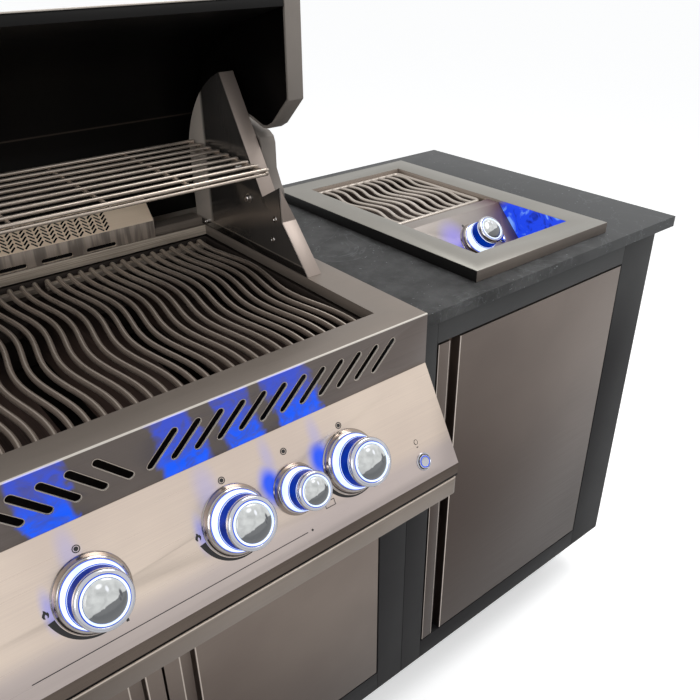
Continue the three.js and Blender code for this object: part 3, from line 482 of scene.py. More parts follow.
def drawn_out(piece, step):
    """A flat face pulled out into a closed body, or a line into a sheet."""
    edit(piece)
    bpy.ops.mesh.extrude_region_move(TRANSFORM_OT_translate={"value": step})
    return closed(piece)


def punched(piece, tool, operation="DIFFERENCE"):
    """Metal taken away by a tool, or added with it; the tool is used up."""
    alone(piece)
    stroke = piece.modifiers.new("Punch", "BOOLEAN")
    stroke.object, stroke.operation, stroke.solver = tool, operation, "EXACT"
    bpy.ops.object.modifier_apply(modifier=stroke.name)
    bpy.data.objects.remove(tool)
    return piece


def obround(u0, v0, u1, v1, radius, steps=9):
    """The (u, v) corners of a slot with round ends, from one end's middle to the other's."""
    turn = math.atan2(v1 - v0, u1 - u0)
    ends = []
    for u, v, first in ((u1, v1, turn - QUARTER), (u0, v0, turn + QUARTER)):
        for i in range(steps + 1):
            angle = first + math.pi * i / steps
            ends.append((u + radius * math.cos(angle), v + radius * math.sin(angle)))
    return ends


def oblong(x0, y0, x1, y1):
    return [(x0, y0), (x1, y0), (x1, y1), (x0, y1)]


def slotted(piece, slots, plane, radius, patch):
    """The piece's face first made whole by a plate over patch, then cut by slots with round ends."""
    (x0, x1), (y0, y1), (z0, z1) = patch
    corners = [at_grill(x, y0, z) for x, z in oblong(x0, z0, x1, z1)]
    punched(piece, drawn_out(traced("patch", corners), (0, (y1 - y0) / 1000, 0)), "UNION")
    tools = []
    for slot in slots:
        corners = [at_grill(x, plane - PUNCH_DEPTH, z) for x, z in obround(*slot, radius)]
        tools.append(drawn_out(traced("slot", corners), (0, 2 * PUNCH_DEPTH / 1000, 0)))
    return flattened(punched(piece, joined("slots", tools)))


def rolled_rim(slot):
    """A thin raised lip round a vent's edge."""
    rim = traced("rim", [at_grill(x, RIM_PLANE, z) for x, z in obround(*slot, VENT_RADIUS + RIM_WIDTH)])
    edit(rim)
    bpy.ops.mesh.inset(thickness=(RIM_WIDTH + RIM_LAP) / 1000)
    bpy.ops.mesh.delete(type="FACE")
    bpy.ops.mesh.select_all(action="SELECT")
    bpy.ops.mesh.extrude_region_move(TRANSFORM_OT_translate={"value": (0, -RIM_PROUD / 1000, 0)})
    return closed(rim)


def lean_patch(across, rise, low_left, low_right, top_left, top_right):
    """1 between two leaning edges and 0 outside them; rise is 0 at the face's foot and 1 at its top."""
    sides = []
    for low, top, start, end in ((low_left, top_left, 0, 1), (low_right, top_right, 1, 0)):
        upright = maths("MULTIPLY_ADD", rise, (low - top) / 1000, across)
        edge = GRILL_X + low / 1000
        sides.append(between(upright, edge - PATCH_SOFT, edge + PATCH_SOFT, start, end))
    return maths("MULTIPLY", *sides)


def strongest(masks):
    """The highest of several masks at each place."""
    most = masks[0]
    for mask in masks[1:]:
        most = maths("MAXIMUM", most, mask)
    return most


def lit_by(material, mask, glow, strength, base):
    """Light thrown on a sheet: where the mask is 1 the sheet shows the glow's colour and not its own."""
    shader, own, _ = finished(material)
    settle(shader, Base_Color=mixed(mask, own, base), Emission_Color=glow,
           Emission_Strength=maths("MULTIPLY", mask, strength))


trim_steel = brushed("trim stainless", TRIM_STEEL, (118, 109, 101), roughness=0.42, metal=0.35)
# Painted highlight along the fold over the worktop's edge.
painted_shading_line(trim_steel, "Y", COUNTER_FRONT - 0.030, 0.0026, 0.9, FOLD_HIGHLIGHT)
# The rear strip gets a paler copy of the trim steel: painted light.
rear_trim_lit_steel = brushed("rear trim stainless", REAR_TRIM_LIT_STEEL, (150, 138, 125), streak=0.35,
                          roughness=0.5, metal=0.15)
# The front face gets a darker copy of the trim steel: painted shade.
trim_face_shaded_steel = brushed("trim face stainless", TRIM_FACE_SHADED_STEEL, (98, 89, 84), roughness=0.34, metal=0.55)
_, _, where = finished(trim_face_shaded_steel)
ripple = noise(where, 34.0, 3.0, distortion=0.9)
swayed = maths("MULTIPLY_ADD", ripple, PATCH_SWAY / 1000, axis_of(where, "X"))
rise = node(where, "ShaderNodeMapRange", axis_of(where, "Z"), COUNTER_TOP + FACE_LOW / 1000,
            COUNTER_TOP + FACE_HIGH / 1000, clamp=False).outputs["Result"]
middles = [[edge + PATCH_SWAY / 2 for edge in patch] for patch in BLUE_PATCHES]
lit = strongest([lean_patch(swayed, rise, *middle) for middle in middles])
uneven = between(noise(where, 42.0, 3.0, distortion=1.6), 0.34, 0.6, 0.55, 1.0)
patch_blue = mixed(between(rise, 0.12, 0.75), (10, 92, 255), (58, 80, 204))
lit_by(trim_face_shaded_steel, maths("MULTIPLY", lit, uneven), patch_blue, 0.95, (10, 14, 34))
# Painted highlight along the face's top fold.
painted_shading_line(trim_face_shaded_steel, "Z", COUNTER_TOP + FACE_HIGH / 1000, 0.0020, 0.9, FOLD_HIGHLIGHT)

vents = []
for side in (-1, 1):
    for i in range(VENT_COUNT):
        x = side * (VENT_FIRST + i * VENT_PITCH)
        vents.append((x, VENT_LOW, x + side * VENT_RUN, VENT_HIGH))
trim = slotted(copied("trim_frame", "head_trim"), vents, TRIM_PLANE, VENT_RADIUS, TRIM_PATCH)
fitted(broken(trim, 0.0006), "island", "trim", trim_steel, "head_trim")
second_finish(trim, trim_face_shaded_steel, lambda at, way: way.y < -0.8 and at.y < -0.289)
second_finish(trim, rear_trim_lit_steel, lambda at, way: at.y > COUNTER_FRONT + 0.46 and at.z > COUNTER_TOP)
# The vent rims get a paler steel than the trim: a painted highlight on the rolled edges.
rim_steel = brushed("vent rim stainless", RIM_STEEL, (172, 161, 150), roughness=0.25)
fitted(joined("vent_rims", [rolled_rim(vent) for vent in vents]), "island", "trim", rim_steel)


# Control panel
# A bright brushed sheet that slopes down under the trim and turns in at its foot; shade is painted low on the
# sheet, the turned-in lip gets a darker copy of the steel and a painted shadow lies along its foot. It is
# printed with a dot over each knob, flame marks, heat scales, a lamp mark and a long rule; the knobs' light
# tints it as painted glow.

PANEL_STEEL, PANEL_PAINTED_SHADE, LIP_SHADED_STEEL, LIP_SHADOW = (222, 206, 191), (178, 168, 170), (104, 93, 85), (6, 5, 5)
PANEL_PLACE = stood(at_grill(0, -30, -52.3), math.radians(60.1), "X")
BIG_KNOBS, SMALL_KNOB, KNOB_DROP = (-259.8, -86.6, 86.6, 259.8), 173.8, -78
GLOW_STREAKS = [(-95, -30, 17, 46), (66, -30, 22, 46), (150, -28, 13, 40), (222, -28, 14, 40), (-282, -30, 20, 46)]
HALOS = [(143, -60, 20, 34), (219, -58, 22, 34)]
FAINT_HALOS = [(43, -76, 11, 34), (-304, -76, 12, 34), (-131, -76, 11, 34)]
DOT_DROP, SCALE_RADIUS, INK_FOOT, INK_THICK = -28.6, 43.2, 0.1, 0.12
DOT_RING = [(4.4, 0.1), (4.4, 0.22), (3.3, 0.22), (3.3, 0.1)]
DOT = [(2.5 * math.cos(a * math.pi / 8), 2.5 * math.sin(a * math.pi / 8)) for a in range(16)]
FLAME = [(-3.4, -4.6), (-4.6, -1.2), (-3.2, 1.6), (-1.6, 3.4), (-1.2, 6.2), (1.2, 4.2), (2.4, 1.6),
         (3.2, 2.6), (4.6, -0.8), (3.4, -4.6), (1.4, -5.6), (2.0, -2.4), (0.2, 0.4), (-1.4, -2.6),
         (-1.2, -5.6)]
BULB_X, BULB_DROP = 368, -96


def ball(where, middle, spread, hard):
    """1 in an oval ball, out to the share hard of its radius, and falling softly to 0 at its edge."""
    oval = node(where, "ShaderNodeMapping", where, middle, Scale=spread,
                vector_type="TEXTURE").outputs["Vector"]
    far = node(oval, "ShaderNodeVectorMath", oval, operation="LENGTH").outputs["Value"]
    return between(far, hard, 1.0, 1.0, 0.0)


def spots(flat, ovals, hard):
    """Soft ovals on a sheet, each (x, y, half its width, half its height) in millimetres."""
    return strongest([ball(flat, (x / 1000, y / 1000, 0), (wide / 1000, high / 1000, 1), hard)
                      for x, y, wide, high in ovals])


def on_sheet(where, place):
    """Places counted on a sloping sheet: x along it, y up it."""
    return node(where, "ShaderNodeMapping", where, place.to_translation(), place.to_euler(),
                vector_type="TEXTURE").outputs["Vector"]


def at_sheet(sheet, x, y):
    """The place x and y millimetres along and up a sloping sheet."""
    return sheet @ Matrix.Translation((x / 1000, y / 1000, 0))


def marked(shape, x, y, scale=1):
    """A printed shape at its place on the sheet."""
    return [(x + u * scale, y + v * scale) for u, v in shape]


def printed(name, shapes, place):
    """Flat marks drawn out by the thickness of the ink and joined."""
    marks = []
    for shape in shapes:
        mark = traced("mark", [(x / 1000, y / 1000, INK_FOOT / 1000) for x, y in shape])
        marks.append(drawn_out(mark, (0, 0, INK_THICK / 1000)))
    return placed(joined(name, marks), place)


def crescent(x, start, end, wide_start, wide_end, steps=30):
    """A scale that narrows as it goes round a knob, angles in degrees."""
    outer, inner = [], []
    for i in range(steps + 1):
        angle = math.radians(start + (end - start) * i / steps)
        width = wide_start + (wide_end - wide_start) * (i / steps) ** 0.7
        for line, radius in ((outer, SCALE_RADIUS + width), (inner, SCALE_RADIUS)):
            line.append((x + radius * math.cos(angle), KNOB_DROP + radius * math.sin(angle)))
    return outer + inner[::-1]


panel_steel = brushed("panel stainless", PANEL_STEEL, (206, 190, 178))
flat = on_sheet(finished(panel_steel)[2], PANEL_PLACE)
# Painted glow of the knobs' light: halos and pale streaks on the sheet.
halo = spots(flat, HALOS, 0.25)
faint_halo = maths("MULTIPLY", spots(flat, FAINT_HALOS, 0.1), 0.5)
pale_glow = maths("MULTIPLY", spots(flat, GLOW_STREAKS, 0.1), 0.3)
glow_blue = mixed(strongest([halo, faint_halo]), (150, 156, 238), (16, 82, 246))
lit_by(panel_steel, strongest([halo, pale_glow, faint_halo]), glow_blue, 0.85, (70, 80, 126))
# Painted shade: the sheet is darker low down, near its foot.
painted_shading_line(panel_steel, "Z", 0.715, 0.062, 0.6, PANEL_PAINTED_SHADE)
# The turned-in lip gets a darker copy of the panel steel as painted shade, with a painted shadow along its
# foot.
lip_shaded_steel = brushed("panel lip stainless", LIP_SHADED_STEEL, (90, 80, 73), roughness=0.3)
painted_shading_line(lip_shaded_steel, "Z", 0.7088, 0.0042, 1.0, LIP_SHADOW)
panel = eased("panel_sheet", "control_panel", panel_steel, 0.0007, 3)
second_finish(panel, lip_shaded_steel, lambda at, way: way.y < -0.93 and at.z < 0.735)

ink, ink_shader, where = blank_material("dark print")
settle(ink_shader, Base_Color=mixed(noise(where, 1500.0), (14, 13, 13), (30, 28, 28)),
       Roughness=0.5)
dot_places = [(x, DOT_DROP) for x in (*BIG_KNOBS, SMALL_KNOB)]
shapes = [marked(DOT, *place) for place in dot_places]
for x in BIG_KNOBS:
    shapes.append(marked(FLAME, x - 48.9, -76.4, 0.8))
    shapes.append(crescent(x, 190, 268, 7.8, 1.6))
    shapes.append(crescent(x, 268, 322, 1.6, 0.5))
    shapes.append(oblong(x + 21.3, -123.4, x + 24.5, -120.2))
shapes += [oblong(*bar) for bar in ((203.6, -119, 219, -118.2), (203.6, -111.3, 219, -110.5),
                                    (203.6, -119, 204.4, -110.5), (218.2, -119, 219, -110.5))]
shapes += [marked(DOT, SMALL_KNOB + 18, -110, 0.8), marked(DOT, 176, -134, 0.6),
           oblong(-169, -134.5, 169, -133.6)]
shapes.append([(BULB_X + 3.3 * math.cos(math.radians(a)), BULB_DROP + 3.9 * math.sin(math.radians(a)))
               for a in range(240, -61, -20)])
shapes.append([(BULB_X - 1.6, -102.6), (BULB_X + 1.6, -102.6), (BULB_X + 1.2, -104), (BULB_X - 1.2, -104)])
hollow = [(BULB_X + 2.5 * math.cos(a / 3), BULB_DROP + 0.2 + 3.0 * math.sin(a / 3)) for a in range(19)]
bulb_light = printed("bulb_light", [hollow], PANEL_PLACE @ Matrix.Translation((0, 0, 0.00006)))
fitted(bulb_light, "island", "stainless", panel_steel)
marks = [printed("panel_print", shapes, PANEL_PLACE)]
marks += [turned("ring", DOT_RING, 32, True, at_sheet(PANEL_PLACE, *place)) for place in dot_places]
fitted(joined("panel_marks", marks), "island", "stainless", ink)


# Knobs, bezels and their light
# Each knob stands in a stepped chrome bezel with a frosted light ring. The knob is a blue lit band, a
# rolled bright rim, a second light ring and a domed glossy face with a painted reflection; the rear burner's
# knob is smaller.

SMALL_SCALE, STEM_RADIUS, DIAL_SPAN = 0.76, 6, 22
# Colours of the painted reflection on the knobs' domed faces.
REFLECTED_ROOM_PALE, REFLECTED_ROOM_GREY, REFLECTED_FLOOR_GREY = (226, 228, 226), (150, 152, 152), (96, 98, 100)
PAINTED_GLINTS = [((460, 860, 100, 70), (250, 252, 255)), ((600, 740, 50, 100), (240, 242, 248)),
          ((840, 520, 45, 130), (62, 64, 70)), ((790, 400, 35, 70), (70, 72, 78))]
BEZEL = [(29, 0.3), (42.5, 0.3), (42.5, 1.0), (41.6, 1.9), (41.2, 2.4), (40.8, 3.4), (39.3, 8.6), (38.6, 9.6),
         (37.6, 10.1), (37.1, 10.5), (36.9, 11.4), (36.2, 11.6), (35.6, 11.2), (29, 11.0)]
BEZEL_LINE = [(36.1, 11.2), (36.3, 11.8), (36.0, 12.8), (35.5, 12.8), (35.2, 11.2)]
LIGHT_RING = [(29.3, 11.1), (35.4, 11.1), (35.5, 12.6), (35.1, 15), (33.6, 21.8), (33.0, 23.4), (32.2, 24.0),
              (29.3, 24.0)]
LIGHT_RING_EDGE = [(31.9, 23.8), (32.5, 23.8), (32.3, 24.3), (31.6, 24.3)]
BAND = [(31.0, 24.8), (31.3, 25.3), (31.2, 26.4), (29.8, 39.0), (29.6, 40.2), (24, 40.4)]
BAND_LINE = [(28.4, 39.8), (30.0, 39.8), (30.3, 40.6), (30.2, 41.4), (28.4, 41.4)]
RIM = [(24.8, 40.6), (30.3, 41.3), (31.0, 42.2), (31.25, 44), (31.0, 46.4), (30.3, 48.0), (29.1, 49.0),
       (27.7, 49.4), (26.3, 49.2), (25.5, 48.5), (25.2, 47.6)]
INNER_LINE = [(25.5, 47.2), (25.6, 48.7), (25.2, 49.0), (22.6, 49.2), (22.4, 47.2)]
INNER_LIGHT = [(25.0, 48.6), (24.8, 49.6), (23.8, 50.0), (22.7, 49.8), (22.4, 48.6)]
DOME = [(22.0, 47.6), (22.0, 49.3), (21.2, 50.1), (19, 51.1), (15.5, 52.0), (11, 52.7), (6, 53.2), (2, 53.38),
        (0, 53.4)]


def plated(name, colour, roughness):
    """Chrome: almost a mirror, with faint hazy patches."""
    material, shader, where = blank_material(name)
    haze = noise(where, 60.0, 4.0)
    settle(shader, Base_Color=mixed(haze, colour, [c - 26 for c in colour]), Metallic=1.0,
           Roughness=between(haze, 0.3, 0.8, roughness, roughness + 0.12))
    return material


def light_ring(name, colour, strength, edge, gloss=0.5):
    """Frosted plastic lit from behind, a little uneven round the ring."""
    material, shader, where = blank_material(name)
    uneven = between(noise(where, 45.0), 0.25, 0.6)
    settle(shader, Base_Color=shade([c * 0.6 for c in edge]), Specular_IOR_Level=gloss, Roughness=0.35,
           Emission_Color=mixed(uneven, edge, colour), Emission_Strength=strength)
    return material


def dial_glass(name):
    """The domed face: a painted reflection of a pale room above and grey below, with two bright painted
    glints and two dark ones.
    """
    material, shader, _ = blank_material(name)
    face = node(shader, "ShaderNodeUVMap", uv_map="dial").outputs["UV"]
    haze = noise(face, 5.0, 3.0, distortion=0.6)
    sway = maths("MULTIPLY_ADD", haze, 0.12, axis_of(face, "Y"))
    bowed = maths("MULTIPLY_ADD", axis_of(face, "X"), -0.22, sway)
    room = mixed(haze, REFLECTED_ROOM_GREY, REFLECTED_ROOM_PALE)
    tint = mixed(between(bowed, 0.34, 0.37), REFLECTED_FLOOR_GREY, room)
    for oval, colour in PAINTED_GLINTS:
        tint = mixed(spots(face, [oval], 0.3), tint, colour)
    settle(shader, Base_Color=tint, Roughness=between(haze, 0.3, 0.7, 0.06, 0.12), Coat_Weight=0.6)
    return material


chrome = plated("bezel chrome", (178, 172, 168), 0.07)
bright_chrome = plated("knob rim chrome", (206, 207, 214), 0.12)
white_ring = light_ring("white light ring", (240, 249, 255), 1.05, (206, 228, 255))
blue_line = light_ring("blue light edge", (20, 92, 244), 0.85, (4, 44, 190), 0.08)
blue_band = light_ring("blue lit band", (0, 52, 172), 0.7, (0, 30, 118), 0.05)
knob_glass = dial_glass("domed dial")


def knob_set(name, place, k, bezel_solid, knob_solid):
    """A bezel fixed on its sheet and the knob that turns in it; k scales the radii only."""
    knob = body_of(knob_solid)
    stem = [(STEM_RADIUS / k, -20), (STEM_RADIUS / k, 24.8)]
    for part, rings, body, slot, material, stands_for in (
            ("bezel", BEZEL, "island", "chrome", chrome, [bezel_solid]),
            ("bezel_line", BEZEL_LINE, "island", "chrome", blue_line, []),
            ("light_ring", LIGHT_RING, "island", "chrome", white_ring, []),
            ("light_ring_edge", LIGHT_RING_EDGE, "island", "chrome", blue_line, []),
            ("band", stem + BAND, knob, "knob", blue_band, [knob_solid]),
            ("band_line", BAND_LINE, knob, "knob", white_ring, []),
            ("rim", RIM, knob, "knob", bright_chrome, []),
            ("inner_line", INNER_LINE, knob, "knob", blue_line, []),
            ("inner_light", INNER_LIGHT, knob, "knob", white_ring, [])):
        scaled = [(radius * k, height) for radius, height in rings]
        piece = turned(f"{name}_{part}", scaled, 64, part != "band", place)
        fitted(piece, body, slot, material, *stands_for)
    dome = turned(f"{name}_dome", [(radius * k, height) for radius, height in DOME], 64)
    dial = dome.data.uv_layers.new(name="dial")
    for loop in dome.data.loops:
        corner = dome.data.vertices[loop.vertex_index].co
        dial.data[loop.index].uv = (0.5 + corner.x * DIAL_SPAN / k, 0.5 + corner.y * DIAL_SPAN / k)
    fitted(placed(dome, place), knob, "knob", knob_glass)


for i, x in enumerate(BIG_KNOBS):
    seat = at_sheet(PANEL_PLACE, x, KNOB_DROP)
    knob_set(f"knob_{i + 1}", seat, 1, f"knob_bezel_{i + 1}", f"burner_knob_{i + 1}")
knob_set("rear_knob", at_sheet(PANEL_PLACE, SMALL_KNOB, KNOB_DROP), SMALL_SCALE, "knob_bezel_small",
         "rear_burner_knob")


# Light button
# A small round push button low on the panel's right. Its chrome cap is turned in one with the flange that
# holds it behind the sheet and carries a lit ring, and a fixed collar stands round it.

BUTTON_PLACE, BUTTON_RADIUS, BUTTON_FLANGE = at_sheet(PANEL_PLACE, 370.7, -125.5), 9.4, 13


def push_button(name, place, radius, flange, solid):
    """A cap held behind its sheet by a flange, a lit ring on it and a fixed collar round it."""
    cap = [(flange, -8), (flange, -5.6), (radius, -5.5), (radius, 2.2), (radius - 0.5, 2.9),
           (radius * 0.72, 3.1), (radius * 0.66, 2.8), (radius * 0.5, 2.6), (radius * 0.2, 2.4), (0, 2.38)]
    light = [(radius * 0.88, 2.9), (radius * 0.86, 3.3), (radius * 0.74, 3.4), (radius * 0.72, 2.9)]
    collar = [(radius + 1.1, 0.1), (radius + 3.2, 0.1), (radius + 2.7, 1.3), (radius + 1.6, 1.7),
              (radius + 1.1, 1.2)]
    moving = body_of(solid)
    fitted(turned(f"{name}_cap", cap, 40, place=place), moving, "chrome", bright_chrome, solid)
    fitted(turned(f"{name}_light", light, 40, True, place), moving, "chrome", blue_line)
    fitted(turned(f"{name}_collar", collar, 40, True, place), "island", "chrome", bright_chrome)


push_button("light_button", BUTTON_PLACE, BUTTON_RADIUS, BUTTON_FLANGE, "light_button")


# Gas manifold
# A brass pipe across the grill head behind the control panel, with a valve body on the line of each
# knob's stem. It is kept in its own shape, with its edges just broken.

brass = brushed("brass", (170, 140, 80), (150, 120, 60), roughness=0.35)
eased("manifold_pipe", "gas_manifold", brass, 0.0006)


# Firebox, burners and sear plates
# An enamelled folded tub hangs from the worktop. Four tube burners with two rows of ports run from front
# to back, and a roof-shaped stainless plate, blued and browned by heat, stands over each.

FIREBOX_EDGE, BURNER_FRONT, BURNER_Z = 0.0006, -5, -98
TUBE_NECK = [(12, 0), (12, 31), (13.2, 35), (16.8, 50), (18, 55)]
TUBE_END = [(17.4, 454.5), (14, 456.8), (0, 457)]
TUBE_RADIUS, TUBE_FIRST, TUBE_STEP, TUBE_STEPS = 18, 55, 8, 48
PORT_FRONT, PORT_BACK, PORT_AREA = 0.07, 0.43, 0.0000032


def pick_faces(test):
    """In edit mode, selects the faces whose middle and whose own data pass the test."""
    bpy.ops.mesh.select_mode(type="FACE")
    bpy.ops.mesh.select_all(action="DESELECT")
    mesh = bmesh.from_edit_mesh(bpy.context.object.data)
    for face in mesh.faces:
        middle = sum((corner.co for corner in face.verts), Vector()) / len(face.verts)
        if test(middle, face):
            face.select_set(True)
    bmesh.update_edit_mesh(bpy.context.object.data)


enamel = powder_coat("firebox enamel", (38, 34, 32), (58, 50, 45), 0.5)
eased("firebox_tub", "firebox", enamel, FIREBOX_EDGE)
burnt_steel = brushed("burnt burner stainless", (112, 98, 86), (80, 66, 56), "Y", 0.3, 0.4)
sear_steel = brushed("burnt sear plate stainless", (76, 60, 54), (40, 31, 28), "Y", 0.25, 0.45, 0.4)
# The ports are shallow pits painted near black: painted shade for the dark of the holes.
port_hole_shade, port_shader, where = blank_material("port hole shade")
settle(port_shader, Base_Color=mixed(noise(where, 700.0, 3.0), (8, 7, 7), (24, 21, 20)),
       Roughness=0.9)
tube_rings = [(TUBE_RADIUS, TUBE_FIRST + TUBE_STEP * i) for i in range(1, TUBE_STEPS + 1)]
first_burner = turned("burner", TUBE_NECK + tube_rings + TUBE_END, 24)
edit(first_burner)
pick_faces(lambda at, face: PORT_FRONT < at.z < PORT_BACK and abs(face.normal.z) < 0.1
           and 0.55 < abs(face.normal.x) < 0.68 and face.normal.y < 0 and round(at.z * 1000 - 59) % 16 < 4)
bpy.ops.mesh.inset(thickness=0.0012, use_individual=True)
bpy.ops.mesh.inset(thickness=0.0002, depth=-0.0012, use_individual=True)
bpy.ops.object.mode_set(mode="OBJECT")
ports = [face.index for face in first_burner.data.polygons
         if face.area < PORT_AREA and PORT_FRONT - 0.02 < face.center.z < PORT_BACK + 0.02]
for i, tube in enumerate(row(first_burner, [(0, 0, 0)] * len(BIG_KNOBS)), 1):
    placed(tube, stood(at_grill(BIG_KNOBS[i - 1], BURNER_FRONT, BURNER_Z), -QUARTER, "X"))
    tube.name = f"burner_tube_{i}"
    fitted(tube, "island", "grid", burnt_steel, f"tube_burner_{i}")
    painted(tube, port_hole_shade, ports)
    eased(f"sear_roof_{i}", f"sear_plate_{i}", sear_steel, FIREBOX_EDGE)


# Cooking grids
# Rows of round rods, every one waved the same way from front to back, welded on a flat bar at each end.
# Their rear tips droop over the rear bar. A centre grid lies between two wider ones; all lift out.

ROD_STEEL, BAR_STEEL, CROWN_HIGHLIGHT = (204, 189, 174), (206, 192, 176), (238, 226, 212)
ROD_RADIUS, ROD_Z, ROD_FRONT, ROD_BACK, ROD_STEP, ROD_STEPS = 4, 5, 24, 465, 9, 48
ROD_DROOP = [(-9, 0), (-6, -0.6), (-3, -2.0), (-0.6, -4.4), (0, -7.5)]
WAVE, WAVE_LENGTH, WAVE_CREST = 7.5, 241, 62
BAR_LOW, BAR_AT, BAR_WIDE, BAR_WELD, BAR_EDGE = -7.3, (41, 455), 10, 1.2, 0.0005
GRID_RODS = {"left": (-353.5, -86, 16), "centre": (-66.5, 66.5, 8), "right": (86, 353.5, 16)}
TIP_REACH, TIP_SHARE = (0.0, 0.2, 0.55, 1.0), (0.3, 0.62, 0.9, 1.0)


def waved(y, height, crest, length):
    """How far to the side a waved rod stands at a place along it."""
    return height * math.cos(2 * math.pi * (y - crest) / length)


def rod(name, line, radius, blunt=True):
    """A round bar, radius in millimetres: its middle line is traced, then given thickness as a curve, with
    rounded tips."""
    if blunt:
        near = []
        for end, after in ((line[0], line[1]), (line[-1], line[-2])):
            step = (after - end).normalized() * radius / 1000
            near.append([end + step * reach for reach in TIP_REACH])
        line = near[0] + line[1:-1] + near[1][::-1]
    bar = traced(name, line, filled=False)
    alone(bar)
    bpy.ops.object.convert(target="CURVE")
    curve = bar.data
    curve.dimensions, curve.bevel_depth, curve.bevel_resolution = "3D", radius / 1000, 4
    curve.use_fill_caps = True
    if blunt:
        points = curve.splines[0].points
        for i, share in enumerate(TIP_SHARE):
            points[i].radius = points[-1 - i].radius = share
    bpy.ops.object.convert(target="MESH")
    bar = bpy.context.object
    edit(bar)
    closed(bar, 0.000005)
    bpy.ops.object.shade_smooth_by_angle(angle=math.radians(50))
    return bar


def block(name, low, high):
    """A small bar of metal: a flat face drawn up from its low corner to its high one, its edges broken."""
    corners = [(x, y, low.z) for x, y in oblong(low.x, low.y, high.x, high.y)]
    return broken(drawn_out(traced(name, corners), (0, 0, high.z - low.z)), BAR_EDGE)


# Painted shade: the rods darken towards the front and are lighter at the rear.
rod_steel = brushed("grid rod stainless", ROD_STEEL, (150, 137, 126), "Y", 0.22, 0.3, 0.5,
                    low=(130, 117, 107), start=(0, 0.02, 0.919), end=(0, 0.2, 0.919))
# Painted highlight along the rods' crowns.
painted_shading_line(rod_steel, "Z", COUNTER_TOP + (ROD_Z + ROD_RADIUS) / 1000, 0.0003, 0.45, CROWN_HIGHLIGHT)
bar_steel = brushed("grid bar stainless", BAR_STEEL, (150, 138, 126), "X", 0.3, 0.45, 0.2)
heights = [(ROD_FRONT + ROD_STEP * i, 0) for i in range(ROD_STEPS)]
heights += [(ROD_BACK + y, drop) for y, drop in ROD_DROOP]
wave_line = [at_grill(waved(y, WAVE, WAVE_CREST, WAVE_LENGTH), y, ROD_Z + drop) for y, drop in heights]
for name, (first, last, count) in GRID_RODS.items():
    places = [first + (last - first) * i / (count - 1) for i in range(count)]
    rods = row(rod("rod", wave_line, ROD_RADIUS), [(x / 1000, 0, 0) for x in places])
    bars = []
    for y in BAR_AT:
        side = waved(y, WAVE, WAVE_CREST, WAVE_LENGTH)
        low = at_grill(first + side - ROD_RADIUS, y - BAR_WIDE / 2, BAR_LOW)
        high = at_grill(last + side + ROD_RADIUS, y + BAR_WIDE / 2, ROD_Z - ROD_RADIUS + BAR_WELD)
        bars.append(block("bar", low, high))
    body = f"cooking_grid_{name}"
    fitted(joined(f"cooking_rods_{name}", rods), body, "grid", rod_steel, f"cooking_grid_{name}")
    fitted(joined(f"cooking_bars_{name}", bars), body, "grid", bar_steel)


# Hood sides
# A fixed stainless sheet each side of the cooking opening, its front edge slanted back in two steps with
# turned-out flanges and its rear edge round. The hood's pivot bolt and small screws show on the inside.

SIDE_STEEL, SIDE_PAINTED_SHEEN, SIDE_PAINTED_REFLECTION = (92, 88, 85), (238, 226, 214), (150, 136, 124)
SIDE_SHADOW, SIDE_HIGHLIGHT = (30, 27, 25), (176, 164, 152)
SIDE_IN, SIDE_FLANGE, SIDE_FOOT, SIDE_GAUGE = 372.6, 398.6, 25.3, 2
PIVOT_Y, PIVOT_Z, SWEEP, SWEEP_FROM, SWEEP_TURN, SWEEP_STEPS = 320, 112, 191, 71, 53.4, 28
LOW_EDGE, EAR = [(169.5, 25.3), (231, 95)], [(233.5, 148), (281, 123)]
GUSSET = [(SIDE_IN, 231, 94), (SIDE_FLANGE, 231, 94), (SIDE_IN + SIDE_GAUGE, 233.5, 146),
          (SIDE_IN, 233.5, 146)]
SIDE_SCREWS, RACK_PEGS, RACK_PEG_Z = ((248, 96), (257, 61), (468, 34), (500, 30)), (332, 460), 160.9
BOLT = [(7.5, 0), (7.5, 0.9), (5.2, 1.1), (5.2, 5.2), (4.4, 6.4), (2.5, 6.8), (0, 6.8)]
SHAFT = [(6, 0), (6, 45.4), (5, 46.4), (0, 46.4)]
SIDE_SCREW = [(4.4, -0.5), (4.4, 0.6), (3.9, 1.6), (2.9, 2.2), (2.2, 2.3), (1.6, 1.5), (0, 1.4)]
PEG = [(3, -0.5), (3, 12.6), (2.4, 13.6), (0, 13.9)]


def parallel(line, gap):
    """A line of (y, z) points moved sideways by gap, to its right hand as it is followed."""
    moved = []
    for i, here in enumerate(line):
        here_on = zip(line[max(i - 1, 0):i + 1], line[max(i, 1):i + 2])
        ways = [(Vector(b) - Vector(a)).normalized() for a, b in here_on]
        side = sum((Vector((way.y, -way.x)) for way in ways), Vector((0, 0)))
        side.normalize()
        reach = gap / max(side.dot(Vector((ways[0].y, -ways[0].x))), 0.3)
        moved.append((here[0] + side.x * reach, here[1] + side.y * reach))
    return moved


def folded(name, line, x0, x1, gauge, edge=0.0004):
    """A sheet bent along a line of (y, z) points on its outer face, which lies to the line's left."""
    middle = [at_grill(x0, y, z) for y, z in parallel(line, gauge / 2)]
    sheet = drawn_out(traced(name, middle, False), ((x1 - x0) / 1000, 0, 0))
    alone(sheet)
    wall = sheet.modifiers.new("Gauge", "SOLIDIFY")
    wall.thickness, wall.offset, wall.use_even_offset = gauge / 1000, 0, True
    bpy.ops.object.modifier_apply(modifier=wall.name)
    return broken(sheet, edge)


